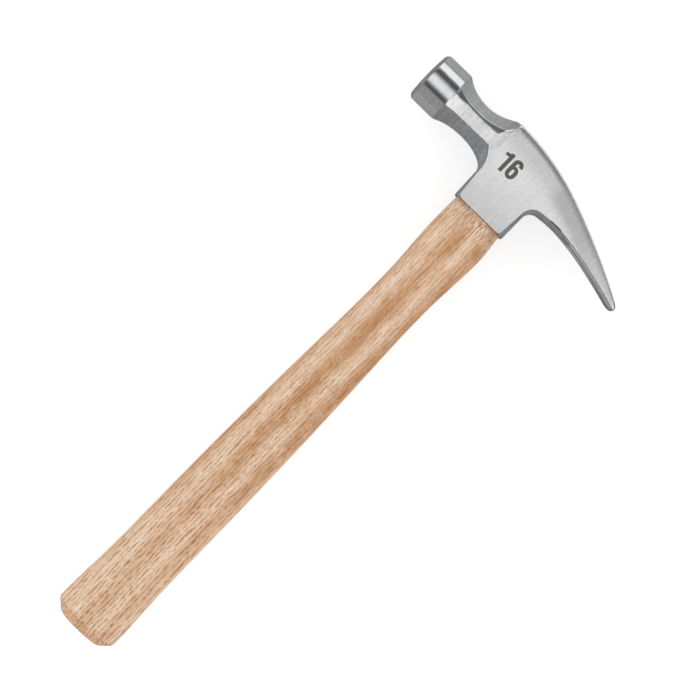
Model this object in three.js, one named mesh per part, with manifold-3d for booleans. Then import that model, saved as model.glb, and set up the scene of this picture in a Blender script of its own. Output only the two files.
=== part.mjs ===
// A straight claw hammer lying on its side: a forged steel head on an oak handle, held by a wooden
// wedge and two steel wedges. Millimetres, +Z up out of the cheek, X from the striking face to the
// claw, Y up the handle.
import * as THREE from "three";
import { mergeVertices } from "three/addons/utils/BufferGeometryUtils.js";
import Module from "manifold-3d";

const wasm = await Module();
wasm.setup();

// Handle: heights run up from the butt end, drops run down from the shoulder under the head
const shoulderHeight = 282.3;
const buttWidth = 35.9;
const buttThickness = 26;
const buttChamfer = 5.6;
const flareHeight = 9;
const gripHeight = 62;
const gripWidth = 33.2;
const gripThickness = 24.4;
const waistDrop = 54.6;
const waistWidth = 27.2;
const waistThickness = 21;
const swellDrop = 15.6;
const swellWidth = 30.4;
const swellThickness = 23.6;
const shoulderStep = 0.7;
const shoulderCheekStep = 2.1;

// Poll: reaches run out from the handle's axis, along X
const pollRadius = 14.2;
const faceReach = 67.2;
const faceFlatRadius = 9;
const faceCrown = 0.6;
const rimLength = 1.8;
const rimInset = 1.6;
const pollEndReach = 50.8;
const pollEdge = 1;

// Neck: rises and drops run up and down from the poll's axis
const neckReach = 34.4;
const neckRise = 8.7;
const neckDrop = 10.4;
const neckHalf = 9.5;
const neckFrontBend = 44.4;
const neckRearBend = 27.4;
const neckRearSag = 0.3;

// Cheeks and skirt
const cheekHalf = 12.4;
const cheekBevel = 1.2;
const shoulderReach = 19.2;
const shoulderFacet = 7.4;
const throatFacet = 3.3;
const throatLevel = 0.7;
const throatShare = 0.7;
const crownReach = 16.6;
const crownRise = 13.6;
const skirtFront = 16.4;
const skirtRear = 15.3;
const skirtDepth = 33.1;
const skirtBevel = 1.6;
const frontFillet = 6.2;
const rearFillet = 6.8;

// Claw
const clawReach = 79.2;
const clawTipDrop = 20;
const noseLength = 2.4;
const noseRise = 2.8;
const heelLength = 4.7;
const heelFall = 0.8;
const noseEdge = 0.8;
const clawHalf = 12.4;
const clawTipHalf = 11;
const clawBevel = 1.7;
const noseBevel = 0.5;
const mitreLimit = 0.6;
const crownBendReach = 7.8;
const crownBendDrop = 0.5;
const clawBendReach = 56.1;
const clawBendDrop = 6.1;
const clawRootDrop = 12.6;
const clawMiddleShare = 0.46;
const clawArch = 1.9;
const clawArchShare = 0.27;
const clawHollow = 6.1;
const clawHollowShare = 0.62;
const slotReach = 41;
const slotMouth = 8.6;
const slotFlare = 1.4;

// Eye and wedges
const cheekWall = 3;
const skirtWall = 1.9;
const eyeTaper = 1.2;
const eyeFlare = 0.8;
const eyeWaistRise = 25;
const fitGap = 0.3;
const endRecess = 0.5;
const woodWedgeLength = 27;
const woodWedgeThickness = 4.4;
const woodWedgeTip = 0.9;
const steelWedgeLength = 17;
const steelWedgeThickness = 2.8;
const steelWedgeTip = 0.8;
const steelWedgeMargin = 2;
const steelWedgeSpacing = 13;
const steelWedgeBarb = 0.35;
const steelWedgeBarbs = 3;

// Fineness of the round stretches
const handleSides = 32;
const handleRoundness = 2.6;
const eyeRoundness = 3.2;
const wallSteps = 2;
const facetSteps = 3;
const cheekSteps = 4;
const eyeSteps = 2;
const endSteps = 8;
const searchSteps = 40;
const weldDistance = 1e-4;

const headHeight = shoulderHeight + fitGap + skirtDepth;
const octagonShare = Math.tan(Math.PI / 8);
const point = (x, y) => new THREE.Vector2(x, y);
const mix = THREE.MathUtils.lerp;

// Turns a closed mesh into a solid that can be joined and cut, and back again
function solidOf(geometry) {
  const bare = geometry.clone();
  bare.deleteAttribute("normal");
  bare.deleteAttribute("uv");
  const merged = mergeVertices(bare, weldDistance);
  return new wasm.Manifold(
    new wasm.Mesh({
      numProp: 3,
      vertProperties: new Float32Array(merged.attributes.position.array),
      triVerts: new Uint32Array(merged.index.array),
    }),
  );
}

function geometryOf(solid) {
  const mesh = solid.getMesh();
  const indexed = new THREE.BufferGeometry();
  indexed.setAttribute("position", new THREE.BufferAttribute(mesh.vertProperties, 3));
  indexed.setIndex(new THREE.BufferAttribute(mesh.triVerts, 1));
  const flat = indexed.toNonIndexed();
  flat.computeVertexNormals();
  return flat;
}

function trianglesGeometry(corners) {
  const geometry = new THREE.BufferGeometry().setFromPoints(corners);
  geometry.computeVertexNormals();
  return geometry;
}

// A closed skin over a stack of rings that all have the same number of points, with flat ends
function loft(rings) {
  const corners = [];
  const sides = rings[0].length;
  const middle = (ring) => ring.reduce((sum, p) => sum.add(p), new THREE.Vector3()).divideScalar(sides);
  const foot = middle(rings[0]);
  const top = middle(rings.at(-1));
  for (let j = 0; j < sides; j++) {
    const k = (j + 1) % sides;
    corners.push(foot, rings[0][j], rings[0][k]);
    corners.push(top, rings.at(-1)[k], rings.at(-1)[j]);
    for (let i = 1; i < rings.length; i++) {
      corners.push(rings[i - 1][j], rings[i][j], rings[i][k]);
      corners.push(rings[i - 1][j], rings[i][k], rings[i - 1][k]);
    }
  }
  return trianglesGeometry(corners);
}

// A level ring between an ellipse (roundness 2) and a rectangle with round corners (higher)
function oval(height, halfWidth, halfThickness, roundness, centre = 0) {
  const bulge = (value) => Math.sign(value) * Math.abs(value) ** (2 / roundness);
  return Array.from({ length: handleSides }, (_, i) => {
    const angle = (2 * Math.PI * i) / handleSides;
    const x = centre + halfWidth * bulge(Math.cos(angle));
    return new THREE.Vector3(x, height, halfThickness * bulge(Math.sin(angle)));
  });
}

// Outline of the head, in the plane of the cheeks, about the crossing of the poll's and the handle's axes
const lowerNeck = [
  new THREE.QuadraticBezierCurve(
    point(-pollEndReach, -pollRadius),
    point(-neckFrontBend, -neckDrop),
    point(-neckReach, -neckDrop),
  ),
  new THREE.QuadraticBezierCurve(
    point(-neckReach, -neckDrop),
    point(-neckRearBend, -neckDrop),
    point(-skirtFront - frontFillet, -neckDrop - neckRearSag * frontFillet),
  ),
];
const frontFilletStart = lowerNeck[1].v2;
const frontFilletEnd = point(-skirtFront, frontFilletStart.y - frontFillet);
const frontFilletCurve = new THREE.QuadraticBezierCurve(
  frontFilletStart,
  point(-skirtFront, frontFilletStart.y - neckRearSag * frontFillet),
  frontFilletEnd,
);
const rearFilletEnd = point(skirtRear + rearFillet, -clawRootDrop);
const rearFilletStart = point(skirtRear, -clawRootDrop - rearFillet);
const rearFilletCurve = new THREE.QuadraticBezierCurve(
  rearFilletStart,
  point(skirtRear, -clawRootDrop),
  rearFilletEnd,
);
const crownStart = point(-crownReach, crownRise);
const crownBend = point(crownBendReach, crownRise - crownBendDrop);
const clawBend = point(clawBendReach, -clawBendDrop);
const noseStart = point(clawReach - noseLength, noseRise - clawTipDrop);
const heel = point(clawReach - heelLength, -heelFall - clawTipDrop);
const clawMiddle = crownBend.clone().lerp(clawBend, clawMiddleShare);
const upperOutline = [
  new THREE.QuadraticBezierCurve(
    point(-pollEndReach, pollRadius),
    point(-neckFrontBend, neckRise),
    point(-neckReach, neckRise),
  ),
  new THREE.QuadraticBezierCurve(
    point(-neckReach, neckRise),
    point(-neckRearBend, neckRise),
    point(-shoulderReach, crownRise),
  ),
  new THREE.LineCurve(point(-shoulderReach, crownRise), crownStart),
  new THREE.QuadraticBezierCurve(crownStart, crownBend, clawMiddle),
  new THREE.QuadraticBezierCurve(clawMiddle, clawBend, noseStart),
];
const clawUnderside = new THREE.CubicBezierCurve(
  rearFilletEnd,
  point(mix(rearFilletEnd.x, heel.x, clawArchShare), rearFilletEnd.y + clawArch),
  point(mix(rearFilletEnd.x, heel.x, clawHollowShare), heel.y + clawHollow),
  heel,
);
const noseTip = point(clawReach, -clawTipDrop);
const noseTopCurve = new THREE.QuadraticBezierCurve(
  noseStart,
  point(clawReach, noseRise / 2 - clawTipDrop),
  noseTip.clone().add(point(0, noseEdge / 2)),
);
const noseHeelCurve = new THREE.QuadraticBezierCurve(
  heel,
  point(clawReach - heelLength / 4, -2 * heelFall - clawTipDrop),
  noseTip.clone().sub(point(0, noseEdge / 2)),
);

// The point of an outline at a given reach along X
function atReach(curves, reach) {
  const curve = curves.find((c) => reach <= c.getPoint(1).x) ?? curves.at(-1);
  let low = 0;
  let high = 1;
  for (let i = 0; i < searchSteps; i++) {
    const middle = (low + high) / 2;
    if (curve.getPoint(middle).x < reach) low = middle;
    else high = middle;
  }
  return curve.getPoint(low);
}
const between = (curves, from, to) => (share) => atReach(curves, mix(from, to, share));
const along = (curve, from = 0, to = 1) => (share) => curve.getPoint(mix(from, to, share));
const straight = (from, to) => (share) => from.clone().lerp(to, share);

// Cross-sections of the head: half is the flat's distance from the middle plane, a wall is half the
// width of the edge face, a bevel is how far the facet between the two reaches in, along the rib where
// level is 1 and square to the outline where it is 0, and round is 1 where the section is a circle
function octagon(radius, round) {
  const wall = radius * octagonShare;
  const bevel = radius - wall;
  const walls = { lowerWall: wall, upperWall: wall, lowerBevel: bevel, upperBevel: bevel };
  return { half: radius, ...walls, level: 1, round, slot: 0 };
}

function slab(half, lowerBevel, upperBevel, { level = 0, slot = 0 } = {}) {
  const lowerWall = half - lowerBevel;
  const upperWall = half - upperBevel;
  return { half, lowerWall, upperWall, lowerBevel, upperBevel, level, round: 0, slot };
}

function mixSections(from, to, share) {
  return Object.fromEntries(Object.keys(from).map((key) => [key, mix(from[key], to[key], share)]));
}

const rimRadius = pollRadius - rimInset;
const rimReach = faceReach - faceCrown;
const pollReach = rimReach - rimLength;
const neckStart = pollEndReach - pollEdge;
const disc = (radius) => octagon(radius, 1);
const neckSection = octagon(neckHalf, 0);
const neckStartSection = octagon(atReach(upperOutline, -neckStart).y, 0);
const shoulderSection = slab(cheekHalf, shoulderFacet, shoulderFacet, { level: 1 });
const throatSection = slab(cheekHalf, throatFacet, throatFacet, { level: throatLevel });
const crownSection = slab(cheekHalf, cheekBevel, cheekBevel);
const skirtSection = slab(cheekHalf, skirtBevel, cheekBevel);
const clawSection = slab(clawHalf, clawBevel, clawBevel);
const tineSection = slab(clawTipHalf, clawBevel, clawBevel, { slot: slotMouth / 2 });
const noseSection = slab(clawTipHalf - noseBevel, noseBevel, noseBevel, { slot: slotMouth / 2 });
const skirtFrontCorner = point(-skirtFront, -skirtDepth);
const skirtRearCorner = point(skirtRear, -skirtDepth);
const throatReach = mix(shoulderReach, crownReach, throatShare);
const even = (share) => share;
const settle = (share) => 1 - (1 - share) ** 2;
const rise = (share) => share ** 2;

// Stretches of the head from the striking face to the claw's tips
const stretches = [
  {
    lower: straight(point(-faceReach, -faceFlatRadius), point(-rimReach, -rimRadius)),
    upper: straight(point(-faceReach, faceFlatRadius), point(-rimReach, rimRadius)),
    from: disc(faceFlatRadius),
    to: disc(rimRadius),
    steps: 1,
    pace: even,
  },
  {
    lower: straight(point(-rimReach, -rimRadius), point(-pollReach, -pollRadius)),
    upper: straight(point(-rimReach, rimRadius), point(-pollReach, pollRadius)),
    from: disc(rimRadius),
    to: disc(pollRadius),
    steps: 1,
    pace: even,
  },
  {
    lower: straight(point(-pollReach, -pollRadius), point(-pollEndReach, -pollRadius)),
    upper: straight(point(-pollReach, pollRadius), point(-pollEndReach, pollRadius)),
    from: disc(pollRadius),
    to: disc(pollRadius),
    steps: 1,
    pace: even,
  },
  {
    lower: between(lowerNeck, -pollEndReach, -neckStart),
    upper: between(upperOutline, -pollEndReach, -neckStart),
    from: disc(pollRadius),
    to: neckStartSection,
    steps: 1,
    pace: even,
  },
  {
    lower: between(lowerNeck, -neckStart, -neckReach),
    upper: between(upperOutline, -neckStart, -neckReach),
    from: neckStartSection,
    to: neckSection,
    steps: 6,
    pace: settle,
  },
  {
    lower: between(lowerNeck, -neckReach, frontFilletStart.x),
    upper: between(upperOutline, -neckReach, -shoulderReach),
    from: neckSection,
    to: shoulderSection,
    steps: 6,
    pace: rise,
  },
  {
    lower: along(frontFilletCurve, 0, throatShare),
    upper: between(upperOutline, -shoulderReach, -throatReach),
    from: shoulderSection,
    to: throatSection,
    steps: 4,
    pace: even,
  },
  {
    lower: along(frontFilletCurve, throatShare, 1),
    upper: between(upperOutline, -throatReach, -crownReach),
    from: throatSection,
    to: crownSection,
    steps: 2,
    pace: even,
  },
  {
    lower: straight(frontFilletEnd, skirtFrontCorner),
    upper: between(upperOutline, -crownReach, -crownReach / 2),
    from: crownSection,
    to: skirtSection,
    steps: 2,
    pace: even,
  },
  {
    lower: straight(skirtFrontCorner, skirtRearCorner),
    upper: between(upperOutline, -crownReach / 2, skirtRear / 2),
    from: skirtSection,
    to: skirtSection,
    steps: 4,
    pace: even,
  },
  {
    lower: straight(skirtRearCorner, rearFilletStart),
    upper: between(upperOutline, skirtRear / 2, skirtRear),
    from: skirtSection,
    to: crownSection,
    steps: 2,
    pace: even,
  },
  {
    lower: along(rearFilletCurve),
    upper: between(upperOutline, skirtRear, rearFilletEnd.x),
    from: crownSection,
    to: clawSection,
    steps: 4,
    pace: even,
  },
  {
    lower: between([clawUnderside], rearFilletEnd.x, slotReach),
    upper: between(upperOutline, rearFilletEnd.x, slotReach),
    from: clawSection,
    to: clawSection,
    steps: 4,
    pace: even,
  },
  {
    lower: between([clawUnderside], slotReach, heel.x),
    upper: between(upperOutline, slotReach, noseStart.x),
    from: clawSection,
    to: tineSection,
    steps: 7,
    pace: even,
  },
  {
    lower: along(noseHeelCurve),
    upper: along(noseTopCurve),
    from: tineSection,
    to: noseSection,
    steps: 3,
    pace: even,
  },
];

function makeHead() {
  const ribs = stretches.flatMap(({ lower, upper, from, to, steps, pace }, n) =>
    Array.from({ length: n ? steps : steps + 1 }, (_, i) => {
      const share = (n ? i + 1 : i) / steps;
      return { low: lower(share), high: upper(share), section: mixSections(from, to, pace(share)) };
    }),
  );
  // The way into the metal from the outline at rib i, as long as a mitred bevel of width 1
  const inward = (i, side, turn) => {
    const here = ribs[i][side];
    const before = here.clone().sub(ribs[Math.max(i - 1, 0)][side]);
    const after = ribs[Math.min(i + 1, ribs.length - 1)][side].clone().sub(here);
    const ways = [before, after].filter((way) => way.length() > weldDistance).map((way) => way.normalize());
    const tangent = ways.reduce((sum, way) => sum.add(way), point(0, 0)).normalize();
    const mitre = tangent.dot(ways.at(-1));
    return point(-turn * tangent.y, turn * tangent.x).divideScalar(Math.max(mitre, mitreLimit));
  };
  const row = ({ low, high, section }, i) => {
    const upright = high.clone().sub(low).normalize();
    const lowWay = inward(i, "low", 1).lerp(upright, section.level);
    const highWay = inward(i, "high", -1).lerp(upright.negate(), section.level);
    const lowIn = low.clone().addScaledVector(lowWay, section.lowerBevel);
    const highIn = high.clone().addScaledVector(highWay, section.upperBevel);
    const place = (p, z) => new THREE.Vector3(p.x, p.y, z);
    const slotLow = section.slot * (1 + slotFlare / slotMouth);
    const stops = [
      [place(low, slotLow), wallSteps],
      [place(low, section.lowerWall), facetSteps],
      [place(lowIn, section.half), cheekSteps],
      [place(highIn, section.half), facetSteps],
      [place(high, section.upperWall), wallSteps],
      [place(high, section.slot), 0],
    ];
    const points = stops.flatMap(([from, steps], n) =>
      n === stops.length - 1
        ? [from]
        : Array.from({ length: steps }, (_, j) => from.clone().lerp(stops[n + 1][0], j / steps)),
    );
    const centre = place(low.clone().add(high).divideScalar(2), 0);
    const radius = (high.y - low.y) / 2;
    return points.map((p) => {
      const way = p.clone().sub(centre);
      return p.lerp(centre.clone().addScaledVector(way.normalize(), radius), section.round);
    });
  };
  const rows = ribs.map(row);
  const corners = [];
  const face = new THREE.Vector3(-faceReach, 0, 0);
  const last = rows.at(-1);
  const nose = last.reduce((sum, p) => sum.add(p), new THREE.Vector3()).divideScalar(last.length);
  const top = rows[0].length - 1;
  const slotRow = ribs.findIndex(({ section }) => section.slot > 0) - 1;
  for (let k = 0; k < top; k++) {
    corners.push(face, rows[0][k], rows[0][k + 1]);
    corners.push(nose, last[k + 1], last[k]);
    for (let i = 1; i < rows.length; i++) {
      corners.push(rows[i - 1][k], rows[i][k], rows[i][k + 1]);
      corners.push(rows[i - 1][k], rows[i][k + 1], rows[i - 1][k + 1]);
    }
  }
  corners.push(nose, last[0], last[top]);
  for (let i = slotRow + 1; i < rows.length; i++) {
    corners.push(rows[i - 1][top], rows[i][top], rows[i][0]);
    corners.push(rows[i - 1][top], rows[i][0], rows[i - 1][0]);
  }
  const mirrored = corners.map((p) => new THREE.Vector3(p.x, p.y, -p.z)).reverse();
  const forging = trianglesGeometry([...corners, ...mirrored]).translate(0, headHeight, 0);
  return solidOf(forging).subtract(solidOf(loft(eyeRings(0))));
}

// The eye through the head, or the tenon that fits it: narrowest at its waist, wider at both ends
const eyeCentre = (skirtRear - skirtFront) / 2;
const eyeHalfWidth = (skirtRear + skirtFront) / 2 - skirtWall;
const eyeHalfThickness = cheekHalf - cheekWall;
const eyeTop = headHeight + crownRise;

function eyeRings(gap) {
  const mouth = headHeight - skirtDepth;
  const waist = mouth + eyeWaistRise;
  const top = eyeTop + fitGap;
  const ring = (height, inset) =>
    oval(height, eyeHalfWidth - inset - gap, eyeHalfThickness - inset - gap, eyeRoundness, eyeCentre);
  const rings = [ring(shoulderHeight, 0)];
  for (let i = 1; i <= eyeSteps; i++) {
    rings.push(ring(mix(mouth, waist, i / eyeSteps), eyeTaper * settle(i / eyeSteps)));
  }
  for (let i = 1; i <= eyeSteps; i++) {
    rings.push(ring(mix(waist, top, i / eyeSteps), eyeTaper - eyeFlare * rise(i / eyeSteps)));
  }
  return rings;
}

// Everything above the sawn end of the handle, which follows the crown
function aboveTheEnd() {
  const reach = eyeHalfWidth + skirtWall;
  const shape = new THREE.Shape();
  shape.moveTo(-reach, crownRise + reach);
  for (let i = 0; i <= endSteps; i++) {
    const p = atReach(upperOutline, mix(-reach, reach, i / endSteps));
    shape.lineTo(p.x, p.y - endRecess);
  }
  shape.lineTo(reach, crownRise + reach);
  const block = new THREE.ExtrudeGeometry(shape, { depth: 2 * cheekHalf, bevelEnabled: false });
  return solidOf(block.translate(0, headHeight, -cheekHalf));
}

const endHeight = headHeight + atReach(upperOutline, eyeCentre).y - endRecess;
const wedgeProud = crownRise;

// The wooden wedge, or the kerf that it fills when grown by a gap: it lies along X and tapers downwards
function woodWedgeBlank(halfWidth, gap) {
  const top = endHeight + wedgeProud;
  const slope = (woodWedgeThickness - woodWedgeTip) / 2 / woodWedgeLength;
  const halfTip = woodWedgeTip / 2 + gap;
  const halfTop = halfTip + slope * (woodWedgeLength + wedgeProud + gap);
  const foot = endHeight - woodWedgeLength - gap;
  const shape = new THREE.Shape([
    point(-halfTip, foot),
    point(halfTip, foot),
    point(halfTop, top),
    point(-halfTop, top),
  ]);
  const blank = new THREE.ExtrudeGeometry(shape, { depth: 2 * halfWidth, bevelEnabled: false });
  return solidOf(blank.translate(0, 0, -halfWidth).rotateY(Math.PI / 2).translate(eyeCentre, 0, 0));
}

// A steel wedge across the wooden one, with barbs up both faces, or its plain slot when grown by a gap
function steelWedgeBlank(side, gap) {
  const centre = eyeCentre + (side * steelWedgeSpacing) / 2;
  const halfWidth = eyeHalfThickness - eyeTaper - fitGap - steelWedgeMargin + gap;
  const foot = endHeight - steelWedgeLength - gap;
  const halfAt = (share) => mix(steelWedgeTip, steelWedgeThickness, share) / 2;
  const shape = new THREE.Shape();
  if (gap) {
    const top = steelWedgeLength + wedgeProud + gap;
    const halfTop = halfAt(top / steelWedgeLength) + steelWedgeBarb + gap;
    const halfFoot = halfAt(0) + steelWedgeBarb + gap;
    shape.moveTo(-halfFoot, foot).lineTo(halfFoot, foot);
    shape.lineTo(halfTop, foot + top).lineTo(-halfTop, foot + top);
  } else {
    const barbed = [];
    for (let i = 0; i < steelWedgeBarbs; i++) {
      const low = i / steelWedgeBarbs;
      const high = (i + 1) / steelWedgeBarbs;
      barbed.push(point(halfAt(low), foot + low * steelWedgeLength));
      barbed.push(point(halfAt(high) + steelWedgeBarb, foot + high * steelWedgeLength));
    }
    const proud = steelWedgeLength + wedgeProud;
    barbed.push(point(halfAt(1), foot + steelWedgeLength));
    barbed.push(point(halfAt(1), foot + proud));
    shape.setFromPoints([...barbed, ...barbed.map((p) => point(-p.x, p.y)).reverse()]);
  }
  const blank = new THREE.ExtrudeGeometry(shape, { depth: 2 * halfWidth, bevelEnabled: false });
  return solidOf(blank.translate(centre, 0, -halfWidth));
}

// The handle's rings follow a curve whose X is half the width, Y the height and Z half the thickness
function handleRings() {
  const size = (width, height, thickness) => new THREE.Vector3(width / 2, height, thickness / 2);
  const neckWidth = 2 * (eyeHalfWidth - fitGap + shoulderStep);
  const neckThickness = 2 * (eyeHalfThickness - fitGap + shoulderCheekStep);
  const flare = size(buttWidth, flareHeight, buttThickness);
  const grip = size(gripWidth, gripHeight, gripThickness);
  const waist = size(waistWidth, shoulderHeight - waistDrop, waistThickness);
  const swell = size(swellWidth, shoulderHeight - swellDrop, swellThickness);
  const shoulder = size(neckWidth, shoulderHeight, neckThickness);
  // Each run leaves and arrives straight up, for these shares of its height
  const runs = [
    { from: flare, to: grip, leave: 0.2, arrive: 0.6, steps: 5 },
    { from: grip, to: waist, leave: 0.62, arrive: 0.22, steps: 9 },
    { from: waist, to: swell, leave: 0.35, arrive: 0.3, steps: 6 },
    { from: swell, to: shoulder, leave: 0.4, arrive: 0.1, steps: 3 },
  ];
  const sizes = runs.flatMap(({ from, to, leave, arrive, steps }) => {
    const out = from.clone().setY(mix(from.y, to.y, leave));
    const back = to.clone().setY(mix(to.y, from.y, arrive));
    return new THREE.CubicBezierCurve3(from, out, back, to).getPoints(steps).slice(1);
  });
  const butt = [
    oval(0, buttWidth / 2 - buttChamfer, buttThickness / 2 - buttChamfer, handleRoundness),
    oval(buttChamfer, buttWidth / 2, buttThickness / 2, handleRoundness),
    oval(flareHeight, buttWidth / 2, buttThickness / 2, handleRoundness),
  ];
  const body = sizes.map(({ x, y, z }) => {
    const share = THREE.MathUtils.smoothstep(y, shoulderHeight - swellDrop, shoulderHeight);
    return oval(y, x, z, mix(handleRoundness, eyeRoundness, share), share * eyeCentre);
  });
  return [...butt, ...body, ...eyeRings(fitGap)];
}

function makeHandle() {
  return solidOf(loft(handleRings()))
    .subtract(woodWedgeBlank(buttWidth, fitGap))
    .subtract(steelWedgeBlank(-1, fitGap))
    .subtract(steelWedgeBlank(1, fitGap))
    .subtract(aboveTheEnd());
}

function makeWoodWedge() {
  return woodWedgeBlank(eyeHalfWidth - eyeTaper - fitGap, 0)
    .subtract(steelWedgeBlank(-1, fitGap))
    .subtract(steelWedgeBlank(1, fitGap))
    .subtract(aboveTheEnd());
}

function makeSteelWedge(side) {
  return steelWedgeBlank(side, 0).subtract(aboveTheEnd());
}

const steel = new THREE.MeshStandardMaterial({ color: 0xc3c5c7, roughness: 0.32, metalness: 1 });
const darkSteel = new THREE.MeshStandardMaterial({ color: 0x8d8f92, roughness: 0.5, metalness: 1 });
const oak = new THREE.MeshStandardMaterial({ color: 0xd3a980, roughness: 0.6, metalness: 0 });
const hardwood = new THREE.MeshStandardMaterial({ color: 0xb98a5e, roughness: 0.7, metalness: 0 });

const pieces = [
  ["head", makeHead(), steel],
  ["handle", makeHandle(), oak],
  ["wood_wedge", makeWoodWedge(), hardwood],
  ["steel_wedge_front", makeSteelWedge(-1), darkSteel],
  ["steel_wedge_rear", makeSteelWedge(1), darkSteel],
];

// The hammer is built about its handle's axis, then laid with the middle of its box over the origin
const hammer = new THREE.Group();
for (const [name, solid, material] of pieces) {
  const mesh = new THREE.Mesh(geometryOf(solid), material);
  mesh.name = name;
  hammer.add(mesh);
}
const box = new THREE.Box3().setFromObject(hammer);
const middle = box.getCenter(new THREE.Vector3());
hammer.position.set(-middle.x, -middle.y, -box.min.z);

const part = new THREE.Group();
part.add(hammer);

export default part;
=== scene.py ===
import math

import bmesh
import bpy
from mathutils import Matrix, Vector


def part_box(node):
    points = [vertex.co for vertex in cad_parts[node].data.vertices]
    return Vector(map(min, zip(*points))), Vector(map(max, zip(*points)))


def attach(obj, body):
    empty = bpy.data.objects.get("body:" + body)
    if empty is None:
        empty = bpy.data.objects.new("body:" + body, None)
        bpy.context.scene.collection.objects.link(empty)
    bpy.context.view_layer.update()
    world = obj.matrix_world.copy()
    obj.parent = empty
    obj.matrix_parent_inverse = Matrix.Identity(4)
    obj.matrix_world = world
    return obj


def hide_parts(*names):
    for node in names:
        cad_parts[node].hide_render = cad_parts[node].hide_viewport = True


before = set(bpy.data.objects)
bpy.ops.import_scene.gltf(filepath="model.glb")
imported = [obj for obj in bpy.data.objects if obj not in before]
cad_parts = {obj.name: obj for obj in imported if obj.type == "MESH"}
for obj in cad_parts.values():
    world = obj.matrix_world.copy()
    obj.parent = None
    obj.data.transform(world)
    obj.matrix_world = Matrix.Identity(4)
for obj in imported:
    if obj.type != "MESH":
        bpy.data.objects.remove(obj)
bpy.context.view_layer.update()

# A straight claw hammer lying on its cheek: a brushed steel head on a lacquered oak handle.
# Sizes are in millimetres and become metres in the meshes. X runs from the striking face to the
# claw, Y up the handle, Z up out of the upper cheek.
MM = 0.001

# Handle: heights run up from the butt end
SHOULDER_HEIGHT = 282.5
BUTT_WIDTH = 35.9
HANDLE_ROUNDNESS = 2.6
HANDLE_SIDES = 96
RINGS_A_RUN = 14

# Poll: reaches run out from the handle's axis, along X
POLL_RADIUS = 14.2
FACE_REACH = 67.2
FACE_FLAT_RADIUS = 7
FACE_CROWN = 0.5
RIM_CHAMFER = 1.7
POLL_END_REACH = 50.8
POLL_EDGE = 1

# Neck: rises and drops run up and down from the poll's axis
NECK_REACH = 34.4
NECK_RISE = 8.7
NECK_DROP = 10.4
NECK_HALF = 9.5
NECK_FRONT_BEND = 44.4
NECK_REAR_BEND = 27.4
NECK_REAR_SAG = 0.3

# Cheeks and skirt: an edge is a bevel, by how far it reaches in and how deep it goes
CHEEK_HALF = 12.4
SHOULDER_REACH = 19.2
SHOULDER_EDGE = (7.4, 7.4)
THROAT_EDGE = (3.3, 3.3)
THROAT_LEVEL = 0.7
THROAT_SHARE = 0.7
THROAT_SOFTNESS = 0.35
CROWN_REACH = 16.6
CROWN_RISE = 13.6
CROWN_EDGE = (0.75, 0.5)
CROWN_TILT = 0.075
CLAW_TILT = 0.115
TINE_TILT = 0.08
CREASE_REACH = 15
CREASE_SOFTNESS = 7
EDGE_ROLL = 0.25
CLAW_ROLL = 0.1
EDGE_ROLL_REACH = 3.2
CHEEK_RIDGE = -4
CHEEK_SAG = 0.8
SKIRT_FRONT = 16.4
SKIRT_FRONT_LEAN = 0.4
SKIRT_REAR = 15.3
SKIRT_DEPTH = 33.1
SKIRT_FRONT_BEVEL = 1.7
SKIRT_REAR_BEVEL = 2.5
SKIRT_END_EDGE = (0.15, 0.2)
SKIRT_BEVEL_DEPTH = 2.4
SKIRT_CORNER = 0.6
SKIRT_FRONT_ROUND = 2.6
SKIRT_REAR_ROUND = 1.8
FRONT_FILLET = 6.2
FRONT_FILLET_BEVEL = 0.9
REAR_FILLET = 6.8
REAR_FILLET_BEVEL = 1.6

# Claw
CLAW_REACH = 79.2
CLAW_TIP_DROP = 20
NOSE_LENGTH = 2.4
NOSE_RISE = 3.1
HEEL_LENGTH = 4.7
HEEL_FALL = 0.8
NOSE_EDGE = 0.8
CLAW_HALF = 12.4
CLAW_TIP_HALF = 11
CLAW_EDGE = (1.8, 2.6)
NOTCH_START = 26.5
NOTCH_REACH = 33.4
NOTCH_SOFTNESS = 0.45
TINE_START = 35.5
TINE_EDGE = (1.6, 1.1)
TINE_SOFTNESS = 0.4
NOSE_BEVEL = 0.5
MITRE_LIMIT = 0.6
CROWN_BEND_REACH = 7.8
CROWN_BEND_DROP = 0.5
CLAW_BEND_REACH = 56.1
CLAW_BEND_DROP = 5.4
CLAW_ROOT_DROP = 12.6
CLAW_MIDDLE_SHARE = 0.46
CLAW_ARCH = 1.9
CLAW_ARCH_SHARE = 0.27
CLAW_HOLLOW = 5.7
CLAW_HOLLOW_SHARE = 0.62
SLOT_REACH = 41
SLOT_MOUTH = 8.6
SLOT_FLARE = 1.4

# The flats' slanted upper edge: places along X from the handle's axis, with its width and depth there
EDGES = [
    (-50, 3.4, 0.95),
    (-46.5, 2.6, 0.75),
    (-42.5, 1.2, 0.36),
    (-38, 1.1, 0.33),
    (-32, 1.3, 0.38),
    (-27, 1.9, 0.56),
    (-24, 2.6, 0.76),
    (-20.2, 3.5, 0.98),
    (-19.6, 1.6, 0.64),
    (-17.2, 1.4, 0.6),
    (-16.6, 1.3, 0.56),
    (-15.4, 0.6, 0.1),
    (-13, 2.5, 0),
    (79, 1.5, 0),
]
EDGE_SHARE = 0.45

# Eye, tenon and wedges
CHEEK_WALL = 3
SKIRT_WALL = 1.9
EYE_TAPER = 1.2
EYE_FLARE = 0.8
EYE_WAIST_RISE = 25
EYE_ROUNDNESS = 3.2
FIT_GAP = 0.3
END_RECESS = 0.5
WOOD_WEDGE_LENGTH = 27
WOOD_WEDGE_THICKNESS = 4.4
WOOD_WEDGE_TIP = 0.9
STEEL_WEDGE_LENGTH = 17
STEEL_WEDGE_THICKNESS = 2.8
STEEL_WEDGE_TIP = 0.8
STEEL_WEDGE_MARGIN = 2
STEEL_WEDGE_SPACING = 13
STEEL_WEDGE_BARB = 0.35

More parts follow.
